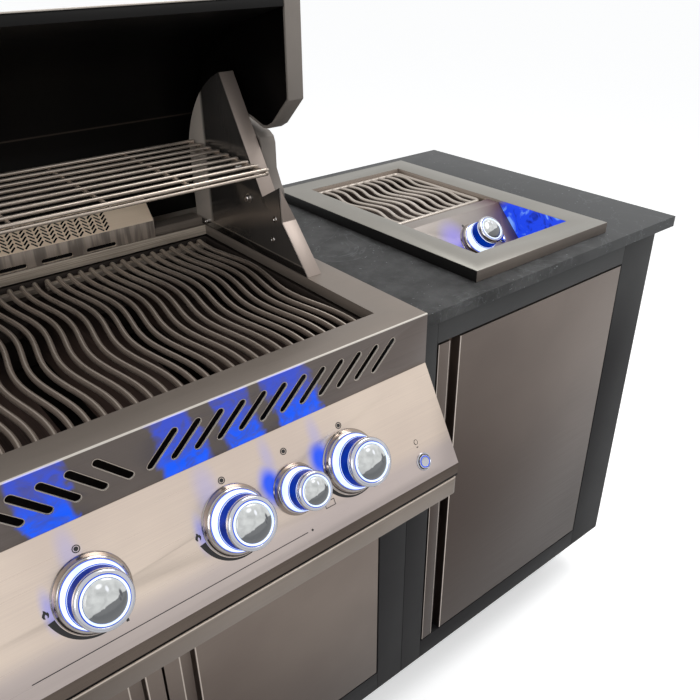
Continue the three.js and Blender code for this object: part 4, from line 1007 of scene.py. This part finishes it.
def polished_side(name):
    """Dark mirror-like sheet that shows the grids and the black hood in it, with a painted sheen in a paler
    upright band, a soft slanting painted reflection, and a painted shadow in a dark strip at the foot with a
    painted highlight along its top."""
    material = brushed(name, SIDE_STEEL, (76, 73, 70), "Z", roughness=0.16, metal=0.5)
    shader, tint, where = finished(material)
    y, z = axis_of(where, "Y"), axis_of(where, "Z")
    # Painted sheen: a paler, less metallic upright band near the rear edge.
    rear = (y, COUNTER_FRONT + 0.440, COUNTER_FRONT + 0.452)
    tint = mixed(between(*rear, 0.0, 0.9), tint, SIDE_PAINTED_SHEEN)
    slope = maths("MULTIPLY_ADD", y, 0.34, z)
    level = COUNTER_TOP + 0.11 + 0.34 * (COUNTER_FRONT + 0.22)
    slant_reflection = maths("MULTIPLY", between(slope, level - 0.02, level + 0.004),
                  between(slope, level + 0.004, level + 0.032, 1.0, 0.0))
    tint = mixed(maths("MULTIPLY", slant_reflection, 0.5), tint, SIDE_PAINTED_REFLECTION)
    # Painted shadow: a dark strip at the foot.
    foot = between(z, COUNTER_TOP + 0.035, COUNTER_TOP + 0.039, 0.85, 0.0)
    settle(shader, Base_Color=mixed(foot, tint, SIDE_SHADOW), Metallic=between(*rear, 0.5, 0.05))
    painted_shading_line(material, "Z", COUNTER_TOP + 0.0388, 0.0012, 0.5, SIDE_HIGHLIGHT)
    return material


side_steel = polished_side("hood side stainless")
# Painted shade: the flanges darken towards the bottom.
flange_steel = brushed("hood side flange stainless", (172, 158, 149), (166, 153, 144), "Z", 0.03, 0.45, 0.6,
                       low=(143, 131, 123), start=(0, 0, COUNTER_TOP + 0.1), end=(0, 0, COUNTER_TOP + 0.2))
screw_steel = plated("screw steel", (205, 200, 196), 0.22)
sweep = [math.radians(SWEEP_FROM - SWEEP_TURN * i / SWEEP_STEPS) for i in range(SWEEP_STEPS + 1)]
round_edge = [(PIVOT_Y + SWEEP * math.cos(angle), PIVOT_Z + SWEEP * math.sin(angle)) for angle in sweep]
high_edge = [(272, 108), round_edge[0]]
outline = LOW_EDGE + EAR + round_edge + [(round_edge[-1][0], SIDE_FOOT)]
fasteners = [("bolt", BOLT, 36, PIVOT_Y, PIVOT_Z)]
fasteners += [("screw", SIDE_SCREW, 24, *place) for place in SIDE_SCREWS]
fasteners += [("peg", PEG, 20, y, RACK_PEG_Z) for y in RACK_PEGS]
for word, side in (("left", -1), ("right", 1)):
    sheet = traced(f"hood_side_sheet_{word}", [at_grill(side * SIDE_IN, y, z) for y, z in outline])
    sheet = broken(drawn_out(sheet, (side * SIDE_GAUGE / 1000, 0, 0)), 0.0003)
    fitted(sheet, "island", "stainless", side_steel, f"hood_side_{word}")
    gusset = traced("gusset", [at_grill(side * x, y, z) for x, y, z in GUSSET])
    edges = [folded("flange", edge, side * SIDE_IN, side * SIDE_FLANGE, SIDE_GAUGE)
             for edge in (LOW_EDGE, high_edge)]
    edges.append(drawn_out(gusset, (0, SIDE_GAUGE / 1000, 0)))
    fitted(joined(f"hood_side_flanges_{word}", edges), "island", "stainless", flange_steel)
    hardware = [turned(kind, rings, sides, place=stood(at_grill(side * SIDE_IN, y, z), -side * QUARTER, "Y"))
                for kind, rings, sides, y, z in fasteners]
    pivot = stood(at_grill(side * (SIDE_IN + 1), PIVOT_Y, PIVOT_Z), side * QUARTER, "Y")
    hardware.append(turned("shaft", SHAFT, 32, place=pivot))
    fitted(joined(f"hood_side_fasteners_{word}", hardware), "island", "stainless", screw_steel)


# Rear ledge and rear burner housing
# A low channel behind the grids, and on it a folded cover with a sloping face. The slope is pierced in
# a herringbone of short slots and the upright foot has six long ones. The slope gets a pale copy of the steel
# as painted light, the foot a darker one as painted shade with a painted reflection of the rods, and a
# near-black sheet behind the slots stands for the shade inside.

HOUSE_LIT_STEEL, FOOT_SHADED_STEEL, FOOT_ROD_REFLECTION = (252, 230, 204), (172, 159, 146), (88, 80, 74)
HOUSE_HALF, HOUSE_FRONT, HOUSE_BROW, HOUSE_BACK, HOUSE_TOP = 278, 477, 54, 505, 88
HOUSE_PATCH = ((-215, 215), (477, 479), (25.6, 36))
FOOT_SLOTS, FOOT_PITCH, FOOT_HALF, FOOT_RADIUS, FOOT_SLOT_Z = 6, 73, 21.5, 3.5, 30.5
CHEVRON_PITCH, CHEVRON_ROW, CHEVRON_LONG, CHEVRON_WIDE, CHEVRON_TURN = 21.5, 6.4, 10.6, 2.9, math.radians(41)
CHEVRON_FIRST, CHEVRON_ROWS, CHEVRON_HALF, PIERCE_DEPTH = 6.2, 6, 206, 0.004

ledge_steel = brushed("rear ledge stainless", (150, 140, 130), (112, 103, 95), "X", 0.25, 0.4, 0.25)
eased("rear_channel", "rear_ledge", ledge_steel, 0.0006)
foot_middles = [(i - (FOOT_SLOTS - 1) / 2) * FOOT_PITCH for i in range(FOOT_SLOTS)]
foot_slots = [(x - FOOT_HALF, FOOT_SLOT_Z, x + FOOT_HALF, FOOT_SLOT_Z) for x in foot_middles]
house = slotted(copied("rear_housing", "rear_burner_housing"), foot_slots, HOUSE_FRONT + 1, FOOT_RADIUS,
                HOUSE_PATCH)
slope_turn = math.atan2(HOUSE_TOP - HOUSE_BROW, HOUSE_BACK - HOUSE_FRONT)
cutters = []
for column in range(-10, 10):
    for row_number in range(CHEVRON_ROWS):
        for half, lean in ((0, 1), (1, -1)):
            u = (column + 0.25 + 0.5 * half) * CHEVRON_PITCH
            v = CHEVRON_FIRST + row_number * CHEVRON_ROW
            if abs(u) > CHEVRON_HALF:
                continue
            ray = Vector((math.cos(CHEVRON_TURN), lean * math.sin(CHEVRON_TURN))) * CHEVRON_LONG / 2
            off = Vector((-ray.y, ray.x)).normalized() * CHEVRON_WIDE / 2
            corners = [((u + c.x) / 1000, (v + c.y) / 1000, -PIERCE_DEPTH)
                       for c in (ray + off, ray - off, -ray - off, -ray + off)]
            cutters.append(drawn_out(traced("pierce", corners), (0, 0, 2 * PIERCE_DEPTH)))
slope_place = stood(at_grill(0, HOUSE_FRONT, HOUSE_BROW), slope_turn, "X")
punched(house, placed(joined("pierce", cutters), slope_place))
broken(flattened(house), 0.0003, 1)
# Painted light: a pale copy of the housing steel on the slope; the foot gets a darker copy as painted shade.
house_lit_steel = brushed("housing stainless", HOUSE_LIT_STEEL, (240, 217, 191), roughness=0.45, metal=0.0)
foot_shaded_steel = brushed("housing foot stainless", FOOT_SHADED_STEEL, (150, 138, 127), "Z", 0.1, 0.4, 0.35)
# Painted reflection of the grid rods on the foot: upright dark streaks.
foot_shader, own_tint, where = finished(foot_shaded_steel)
upright = node(where, "ShaderNodeMapping", where, Scale=(85, 85, 9)).outputs["Vector"]
painted_rod_reflection = between(noise(upright, 1.0), 0.4, 0.6, 0.75, 0.0)
settle(foot_shader, Base_Color=mixed(painted_rod_reflection, own_tint, FOOT_ROD_REFLECTION))
fitted(house, "island", "stainless", house_lit_steel, "rear_burner_housing")
second_finish(house, foot_shaded_steel, lambda at, way: abs(way.z) < 0.3 and at.z < COUNTER_TOP + HOUSE_BROW / 1000)
# Painted shade: a near-black sheet just behind the pierced slope, where the inside of the housing shows dark.
burner_dark = powder_coat("rear burner shadow", (6, 5, 5), (12, 10, 10), 0.9)
shade_sheet_line = [(HOUSE_FRONT + 4, 27), (HOUSE_FRONT + 4, HOUSE_BROW - 1), (HOUSE_BACK + 1, HOUSE_TOP - 4)]
shade_sheet = folded("rear_burner_shade_sheet", shade_sheet_line, -HOUSE_HALF + 4, HOUSE_HALF - 4, 0.8, 0)
fitted(shade_sheet, "island", "stainless", burner_dark)


# Warming rack
# Straight rods on two end bars and five ties, every joint a small weld, hung on two pegs each side. Each
# rod's tip is turned down a little over the end bar, and one more rod runs under the front.

RACK_HALF, RACK_Z, RACK_FIRST, RACK_PITCH, RACK_RODS, RACK_RADIUS = 367, 174, 250, 28, 9, 2.8
RACK_BAR_RADIUS, RACK_TIE_RADIUS, RACK_WELD, RACK_TIP = 3.4, 2.2, 1.2, 2.2
RACK_TIES, RACK_OVER = (-244, -122, 0, 122, 244), 3


def rack_line(y, z, tip):
    ends = [(-RACK_HALF, -tip), (-RACK_HALF + 2.5, -tip * 0.35), (-RACK_HALF + 7, 0), (-RACK_HALF / 2, 0)]
    points = ends + [(0, 0)] + [(-x, drop) for x, drop in ends[::-1]]
    return [at_grill(x, y, z + drop) for x, drop in points]


rack_steel = brushed("rack rod stainless", (206, 193, 180), (160, 148, 137), "X", 0.2, 0.26, 0.7)
rack_last = RACK_FIRST + RACK_PITCH * (RACK_RODS - 1)
bar_x, bar_z = RACK_HALF - RACK_BAR_RADIUS, RACK_Z - RACK_RADIUS - RACK_BAR_RADIUS + RACK_WELD
tie_z = RACK_Z - RACK_RADIUS - RACK_TIE_RADIUS + RACK_WELD
rack = row(rod("rod", rack_line(RACK_FIRST, RACK_Z, RACK_TIP), RACK_RADIUS),
           [(0, i * RACK_PITCH / 1000, 0) for i in range(RACK_RODS)])
rack.append(rod("under_rod", rack_line(RACK_FIRST + 1, bar_z - 2, 0), RACK_RADIUS))
crossbars = [(x, bar_z, RACK_OVER, RACK_BAR_RADIUS) for x in (-bar_x, bar_x)]
crossbars += [(x, tie_z, 0, RACK_TIE_RADIUS) for x in RACK_TIES]
for x, z, over, radius in crossbars:
    run = (RACK_FIRST - over, (RACK_FIRST + rack_last) / 2, rack_last + over)
    rack.append(rod("crossbar", [at_grill(x, y, z) for y in run], radius))
fitted(joined("rack_rods", rack), "warming_rack", "grid", rack_steel, "warming_rack")


# Drip tray
# A shallow folded pan of satin stainless that slides out on two runners, behind a full-width front bar
# with a rolled top. Shade is painted on it, darkening towards its left end, and a painted highlight runs
# along the rolled edge.

TRAY_STEEL, TRAY_PAINTED_SHADE = (146, 135, 126), (84, 75, 68)
TRAY_HIGHLIGHT, TRAY_HIGHLIGHT_DROP = (222, 210, 197), 0.2075

# Painted shade: the tray darkens towards its left end.
tray_steel = brushed("tray stainless", TRAY_STEEL, (128, 118, 109), roughness=0.34, metal=0.7,
                     low=TRAY_PAINTED_SHADE, start=(-0.62, 0, 0), end=(-0.12, 0, 0))
# Painted highlight along the front bar's rolled top.
painted_shading_line(tray_steel, "Z", COUNTER_TOP - TRAY_HIGHLIGHT_DROP, 0.0022, 0.85, TRAY_HIGHLIGHT)
eased("tray_pan", "drip_tray", tray_steel, 0.0009, 3)


# Hood
# A double-skinned stainless hood between two cast end caps, rolled back on its pivot bolts. Outside it is
# satin, inside it is black enamel with a pressed crease drawn as a painted highlight line, and a round bar
# handle runs across its front. The hollow of each end cap is given the black enamel as painted shade.

LID_HALF, LID_CAP_IN, LID_CAP_RIM, LID_CAP_DEEP, LID_LOBE = 427.5, 400.5, 4.6, 23.5, 20
LID_EDGE, LID_CURVE = (-294, -81), [(-268, 30), (-243, 137), (-176, 212), (-60, 224)]
LID_NOTCH = [(-39, -2), (-79, -2), (-89, 2), (-95, 12), (-108, 78), (-128, 80),
             (-115, 22), (-106, -10), (-107, -22), (-115, -38), (-156, -81)]
SKIN_GAUGE, LINING_GAP, LINING_GAUGE, LINING_CLEAR = 2, 14, 1.5, 2.5
BOSS = [(6.9, -1), (13, -1), (13, 23.6), (11.6, 25), (6.9, 25)]
HANDLE_Y, HANDLE_Z, HANDLE_RADIUS, HANDLE_HALF = -341, -22.5, 12.15, 345
POST_X, POST_RADIUS, POST_LONG = 300, 9, 57.5


def opened_lid(y, z):
    """A point of the closed hood, seen from its pivot, where the open hood has it."""
    return PIVOT_Y + z, PIVOT_Z - y


def lid_face(last, steps=36):
    """The closed hood's outline from its front edge over its brow to the point last."""
    a, b, c, d = [Vector(point) for point in LID_CURVE]
    brow = []
    for i in range(steps + 1):
        t = i / steps
        point = a * (1 - t) ** 3 + b * 3 * t * (1 - t) ** 2 + c * 3 * t * t * (1 - t) + d * t ** 3
        brow.append((point.x, point.y))
    return [LID_EDGE] + brow + [(20, 227), last]


hood_steel = brushed("hood skin stainless", (172, 165, 157), (158, 150, 142), roughness=0.42, metal=0.8)
black_enamel = powder_coat("hood lining enamel", (7, 6, 6), (14, 13, 12), 0.4)
# Painted highlight along the lining's pressed crease.
painted_shading_line(black_enamel, "Z", COUNTER_TOP + 0.208, 0.0016, 0.8, (66, 58, 52))
cast_grey = powder_coat("cast end grey", (112, 106, 100), (128, 121, 115), 0.42)
skin_line = [opened_lid(*p) for p in lid_face((98, 226))]
skin = folded("hood_skin", skin_line, -LID_HALF, LID_HALF, SKIN_GAUGE)
fitted(skin, "hood", "stainless", hood_steel, "lid_skin")
inside_line = parallel(lid_face((72, 226.4)), LINING_GAP)
root = parallel(lid_face((98, 226)), 2.3)[0]
hem = [(root[0] + 0.6, root[1] + 3), (inside_line[0][0], inside_line[0][1] + 3)]
lining_line = [opened_lid(*p) for p in hem + inside_line[1:]]
lining_half = LID_CAP_IN - LINING_CLEAR
lining = folded("hood_lining", lining_line, -lining_half, lining_half, LINING_GAUGE)
fitted(lining, "hood", "lining", black_enamel, "lid_lining")

lobe = [(LID_LOBE * math.cos(math.radians(2 - 7 * i)), LID_LOBE * math.sin(math.radians(2 - 7 * i)))
        for i in range(21)]
cap_rim = [opened_lid(*p) for p in parallel(lid_face((80, 226.3)), 2.5) + lobe + LID_NOTCH]
for word, side in (("left", -1), ("right", 1)):
    inner, outer = side * LID_CAP_IN, side * (LID_HALF - 0.5)
    cap = traced("cap", [at_grill(inner, y, z) for y, z in cap_rim])
    edit(drawn_out(cap, ((outer - inner) / 1000, 0, 0)))
    pick_faces(lambda at, face: face.normal.x * side < -0.9)
    bpy.ops.mesh.inset(thickness=LID_CAP_RIM / 1000)
    bpy.ops.mesh.extrude_region_move(TRANSFORM_OT_translate={"value": (side * LID_CAP_DEEP / 1000, 0, 0)})
    bpy.ops.mesh.select_more()
    # The hollow inside each cap gets the black enamel: painted shade in the recess.
    cap.data.materials.append(cast_grey)
    cap.data.materials.append(black_enamel)
    cap.active_material_index = 1
    bpy.ops.object.material_slot_assign()
    bpy.ops.object.mode_set(mode="OBJECT")
    pivot = stood(at_grill(side * (LID_HALF - 1.5), PIVOT_Y, PIVOT_Z), -side * QUARTER, "Y")
    cap = joined(f"hood_end_cap_{word}", [broken(cap, 0.0008), turned("boss", BOSS, 40, True, pivot)])
    hollow = [face.index for face in cap.data.polygons if face.material_index == 1]
    fitted(cap, "hood", "cast", cast_grey, f"lid_end_{word}")
    painted(cap, black_enamel, hollow)

handle_steel = brushed("handle stainless", (196, 190, 182), (178, 171, 163), roughness=0.2)
handle_at = opened_lid(HANDLE_Y, HANDLE_Z)
half_grip = [(HANDLE_RADIUS - 1.6, 0), (HANDLE_RADIUS, 1.4), (HANDLE_RADIUS, 17), (HANDLE_RADIUS - 0.7, 17.8),
             (HANDLE_RADIUS - 0.7, 19.4), (HANDLE_RADIUS, 20.2)]
grip = half_grip + [(radius, 2 * HANDLE_HALF - height) for radius, height in half_grip[::-1]]
handle = [turned("grip", grip, place=stood(at_grill(-HANDLE_HALF, *handle_at), QUARTER, "Y"))]
lid_rise = (Vector(LID_CURVE[0]) - Vector(LID_EDGE)).normalized()
foot = opened_lid(HANDLE_Y + (POST_LONG - 0.3) * lid_rise.y, HANDLE_Z - POST_LONG * lid_rise.x)
for x in (-POST_X, POST_X):
    start, end = at_grill(x, *handle_at), at_grill(x, *foot)
    long = (end - start).length * 1000
    spin = (end - start).to_track_quat("Z", "Y").to_matrix().to_4x4()
    collar = POST_RADIUS + 0.8
    post = [(POST_RADIUS, 4), (POST_RADIUS, long - 9), (collar, long - 8), (collar, long - 1),
            (POST_RADIUS, long)]
    handle.append(turned("post", post, 36, place=Matrix.Translation(start) @ spin))
fitted(joined("hood_grip", handle), "hood", "stainless", handle_steel, "lid_handle")


# Side burner pan
# A drop-in stainless trim with a deep bowl pressed in it. Shade is painted on it: a darker copy of the steel
# on the front skirt, a near-black one on the left-hand skirt, and a darkening towards the bowl's floor. The
# control plate's light, painted in, fills the front of the bowl and shows saturated blue, with brighter
# streaks, on its right-hand wall.

BURNER_X = 0.4472
SIDE_TRIM, SKIRT_SHADED_STEEL, SIDE_SKIRT_PAINTED_SHADE = (142, 138, 131), (128, 118, 110), (27, 26, 25)
BOWL_STEEL, BOWL_PAINTED_SHADE = (166, 153, 141), (96, 84, 78)
BOWL_X, BOWL_Y, BOWL_RIM = (0.325, 0.5685), (-0.1785, 0.2715), 0.9325
SPILL_MIDDLE, SPILL_SPREAD = (121, 150, -8), (0.09, 0.105, 0.062)
SPILL_DEEP, SPILL_BLUE, SPILL_STREAK = (12, 32, 134), (28, 70, 236), (120, 168, 255)


def at_burner(x, y, z):
    """Millimetres from the middle of the side burner's trim, as a place."""
    return Vector((BURNER_X + x / 1000, COUNTER_FRONT + y / 1000, COUNTER_TOP + z / 1000))


burner_trim = brushed("side burner trim stainless", SIDE_TRIM, (131, 128, 121), roughness=0.42, metal=0.4)
# The front skirt gets a darker copy of the trim steel as painted shade, and the left-hand skirt a near-black
# one.
skirt_shaded_steel = brushed("side burner skirt stainless", SKIRT_SHADED_STEEL, (116, 107, 100), roughness=0.4, metal=0.25)
shaded_side_skirt = brushed("side burner side skirt", SIDE_SKIRT_PAINTED_SHADE, (22, 21, 20), "Y", roughness=0.35, metal=0.25)
# Painted shade: the bowl darkens towards its floor.
bowl_steel = brushed("side burner bowl stainless", BOWL_STEEL, (140, 128, 118), "Y", roughness=0.3,
                     metal=0.6, low=BOWL_PAINTED_SHADE, start=(0, 0, 0.898), end=(0, 0, 0.926))
_, _, where = finished(bowl_steel)
spill = noise(where, 24.0, 3.0, distortion=1.6)
deep_blue = mixed(between(spill, 0.3, 0.44), SPILL_DEEP, SPILL_BLUE)
blue_wall = mixed(between(spill, 0.54, 0.68), deep_blue, SPILL_STREAK)
lit_by(bowl_steel, ball(where, at_burner(*SPILL_MIDDLE), SPILL_SPREAD, 0.72), blue_wall, 0.98, (16, 16, 30))
pan = eased("side_burner_tray", "side_burner_pan", burner_trim, 0.0007)
second_finish(pan, skirt_shaded_steel, lambda at, way: way.y < -0.8 and at.y < -0.2255)
second_finish(pan, shaded_side_skirt, lambda at, way: way.x < -0.8 and at.x < 0.28 and at.z > 0.91)
second_finish(pan, bowl_steel, lambda at, way: BOWL_X[0] < at.x < BOWL_X[1] and BOWL_Y[0] < at.y < BOWL_Y[1]
              and at.z < BOWL_RIM)


# Side burner grid
# Ten waved rods inside a rounded wire frame, all of round stainless bar welded where they meet. It rests
# on two ledges of the bowl and lifts out.

GRID_X, GRID_HALF, GRID_FRONT, GRID_BACK, GRID_Z, WIRE_RADIUS, WIRE_CORNER = 2, 115, 282, 531, 9, 4, 14
SMALL_RODS, SMALL_PITCH, SMALL_RADIUS, SMALL_IN, SMALL_UP, SMALL_STEPS = 10, 21.2, 3.4, 3, 0.4, 30
SMALL_WAVE, SMALL_LENGTH, SMALL_CREST = 8.0, 129, 498
pale_rods = brushed("side grid stainless", (212, 202, 192), (176, 166, 156), "Y", 0.2, 0.38, 0.6)
ring_line = []
for right, back, first in ((1, 1, 0), (-1, 1, 90), (-1, -1, 180), (1, -1, 270)):
    x = GRID_X + right * (GRID_HALF - WIRE_CORNER)
    y = (GRID_BACK - WIRE_CORNER) if back > 0 else (GRID_FRONT + WIRE_CORNER)
    for i in range(9):
        angle, bend = math.radians(first + 90 * i / 8), WIRE_CORNER - WIRE_RADIUS
        ring_line.append(at_burner(x + bend * math.cos(angle), y + bend * math.sin(angle), GRID_Z))
small_run = GRID_BACK - GRID_FRONT - 2 * SMALL_IN
small_ys = [GRID_FRONT + SMALL_IN + small_run * i / SMALL_STEPS for i in range(SMALL_STEPS + 1)]
small_line = [at_burner(waved(y, SMALL_WAVE, SMALL_CREST, SMALL_LENGTH), y, GRID_Z + SMALL_UP)
              for y in small_ys]
small_places = [GRID_X + (i - (SMALL_RODS - 1) / 2) * SMALL_PITCH for i in range(SMALL_RODS)]
small_grid = [rod("wire", ring_line + ring_line[:2], WIRE_RADIUS, False)]
small_grid += row(rod("rod", small_line, SMALL_RADIUS, False), [(x / 1000, 0, 0) for x in small_places])
fitted(joined("side_burner_rods", small_grid), "side_burner_grid", "grid", pale_rods, "side_burner_grid")


# Side burner controls
# A stainless plate over the front of the bowl slopes down at 45 degrees. It carries a lit knob in its
# bezel, a small lit button and a printed dot; the bowl's blue light washes its left half.

PLATE_STEEL, PLATE_PAINTED_SHADE = (152, 144, 138), (104, 82, 88)
PLATE_PLACE = stood(at_burner(0, 243, 15), math.radians(45), "X")
PLATE_KNOB, PLATE_KNOB_SCALE, PLATE_DOT = (15.4, -59.6), 0.84, (4.2, -23.5)
PLATE_BUTTON, PLATE_BUTTON_RADIUS, PLATE_BUTTON_FLANGE = (79, -70), 6.5, 9.5
WASH, EDGE_GLOW = (-30, -44, 44, 50), (-24, -74, 34, 30)
# Painted shade: the plate darkens towards its right-hand end.
plate_steel = brushed("control plate stainless", PLATE_STEEL, (138, 130, 124), roughness=0.45, metal=0.35,
                      low=PLATE_PAINTED_SHADE, start=(0.565, 0, 0.9), end=(0.49, 0, 0.9))
flat = on_sheet(finished(plate_steel)[2], PLATE_PLACE)
edge_glow = spots(flat, [EDGE_GLOW], 0.2)
faint_wash = maths("MULTIPLY", strongest([spots(flat, [WASH], 0.15), edge_glow]), 0.6)
wash_blue = mixed(edge_glow, (140, 132, 235), (34, 60, 245))
lit_by(plate_steel, faint_wash, wash_blue, 0.95, (86, 76, 120))
eased("control_plate", "side_burner_plate", plate_steel, 0.0007)
knob_set("side_knob", at_sheet(PLATE_PLACE, *PLATE_KNOB), PLATE_KNOB_SCALE, "side_burner_bezel",
         "side_burner_knob")
push_button("side_button", at_sheet(PLATE_PLACE, *PLATE_BUTTON), PLATE_BUTTON_RADIUS, PLATE_BUTTON_FLANGE,
            "side_burner_button")
plate_dot = printed("plate_dot", [marked(DOT, *PLATE_DOT)], PLATE_PLACE)
fitted(plate_dot, "island", "stainless", ink)


# Floor, light and camera
# A pale seamless floor, an even sky and two large soft lamps. The camera stands where the photograph's
# did: by the grill's left, looking down and across to the side burner.

FLOOR_HALF, FLOOR_GLOW = 30.0, 0.42
EYE = Vector((-0.5479, -0.9344, 1.3940))
EYE_YAW, EYE_PITCH, EYE_ROLL = 0.6804, 0.5109, -0.0075
LENS, SENSOR, NEAREST = 38.58, 36.0, 0.02

bpy.ops.mesh.primitive_plane_add(size=2 * FLOOR_HALF, location=(0, 0, 0))
floor = bpy.context.object
floor.name = "studio_floor"
pale, floor_shader, _ = blank_material("pale floor")
seen = node(floor_shader, "ShaderNodeLightPath").outputs["Is Camera Ray"]
settle(floor_shader, Base_Color=(0.92, 0.92, 0.92, 1), Roughness=0.9, Specular_IOR_Level=0.0,
       Emission_Color=(1, 1, 1, 1), Emission_Strength=maths("MULTIPLY", seen, FLOOR_GLOW))
floor.data.materials.append(pale)

world = bpy.data.worlds.new("even sky")
bpy.context.scene.world = world
world.use_nodes = True
world.node_tree.nodes.clear()
rays = world.node_tree.nodes.new("ShaderNodeLightPath").outputs
shown = strongest([rays[f"Is {kind} Ray"] for kind in ("Camera", "Glossy", "Transmission")])
ambient = node(shown, "ShaderNodeBackground", (0.80, 0.81, 0.82, 1), 0.75)
white = node(shown, "ShaderNodeBackground", (1, 1, 1, 1))
sky = node(shown, "ShaderNodeMixShader", shown, ambient.outputs["Background"], white.outputs["Background"])
node(shown, "ShaderNodeOutputWorld", sky.outputs["Shader"])


def soft_lamp(name, place, aim, size, power):
    bpy.ops.object.light_add(type="AREA", location=place)
    lamp = bpy.context.object
    lamp.name = name
    lamp.data.shape, lamp.data.size, lamp.data.energy = "DISK", size, power
    lamp.rotation_euler = (Vector(aim) - Vector(place)).to_track_quat("-Z", "Y").to_euler()


soft_lamp("soft lamp over the worktop", (1.2, -0.6, 3.2), (0.2, 0, 0.8), 1.6, 40)
soft_lamp("soft lamp from the left", (-2.6, -2.2, 2.6), (-0.2, 0, 0.8), 1.8, 30)

eye = bpy.data.cameras.new("eye")
eye.lens, eye.sensor_width, eye.clip_start = LENS, SENSOR, NEAREST
camera = bpy.data.objects.new("eye", eye)
bpy.context.collection.objects.link(camera)
camera.matrix_world = (stood(EYE, -EYE_YAW, "Z") @ Matrix.Rotation(QUARTER - EYE_PITCH, 4, "X")
                       @ Matrix.Rotation(EYE_ROLL, 4, "Z"))
bpy.context.scene.camera = camera
bpy.context.scene.view_settings.view_transform = "Standard"
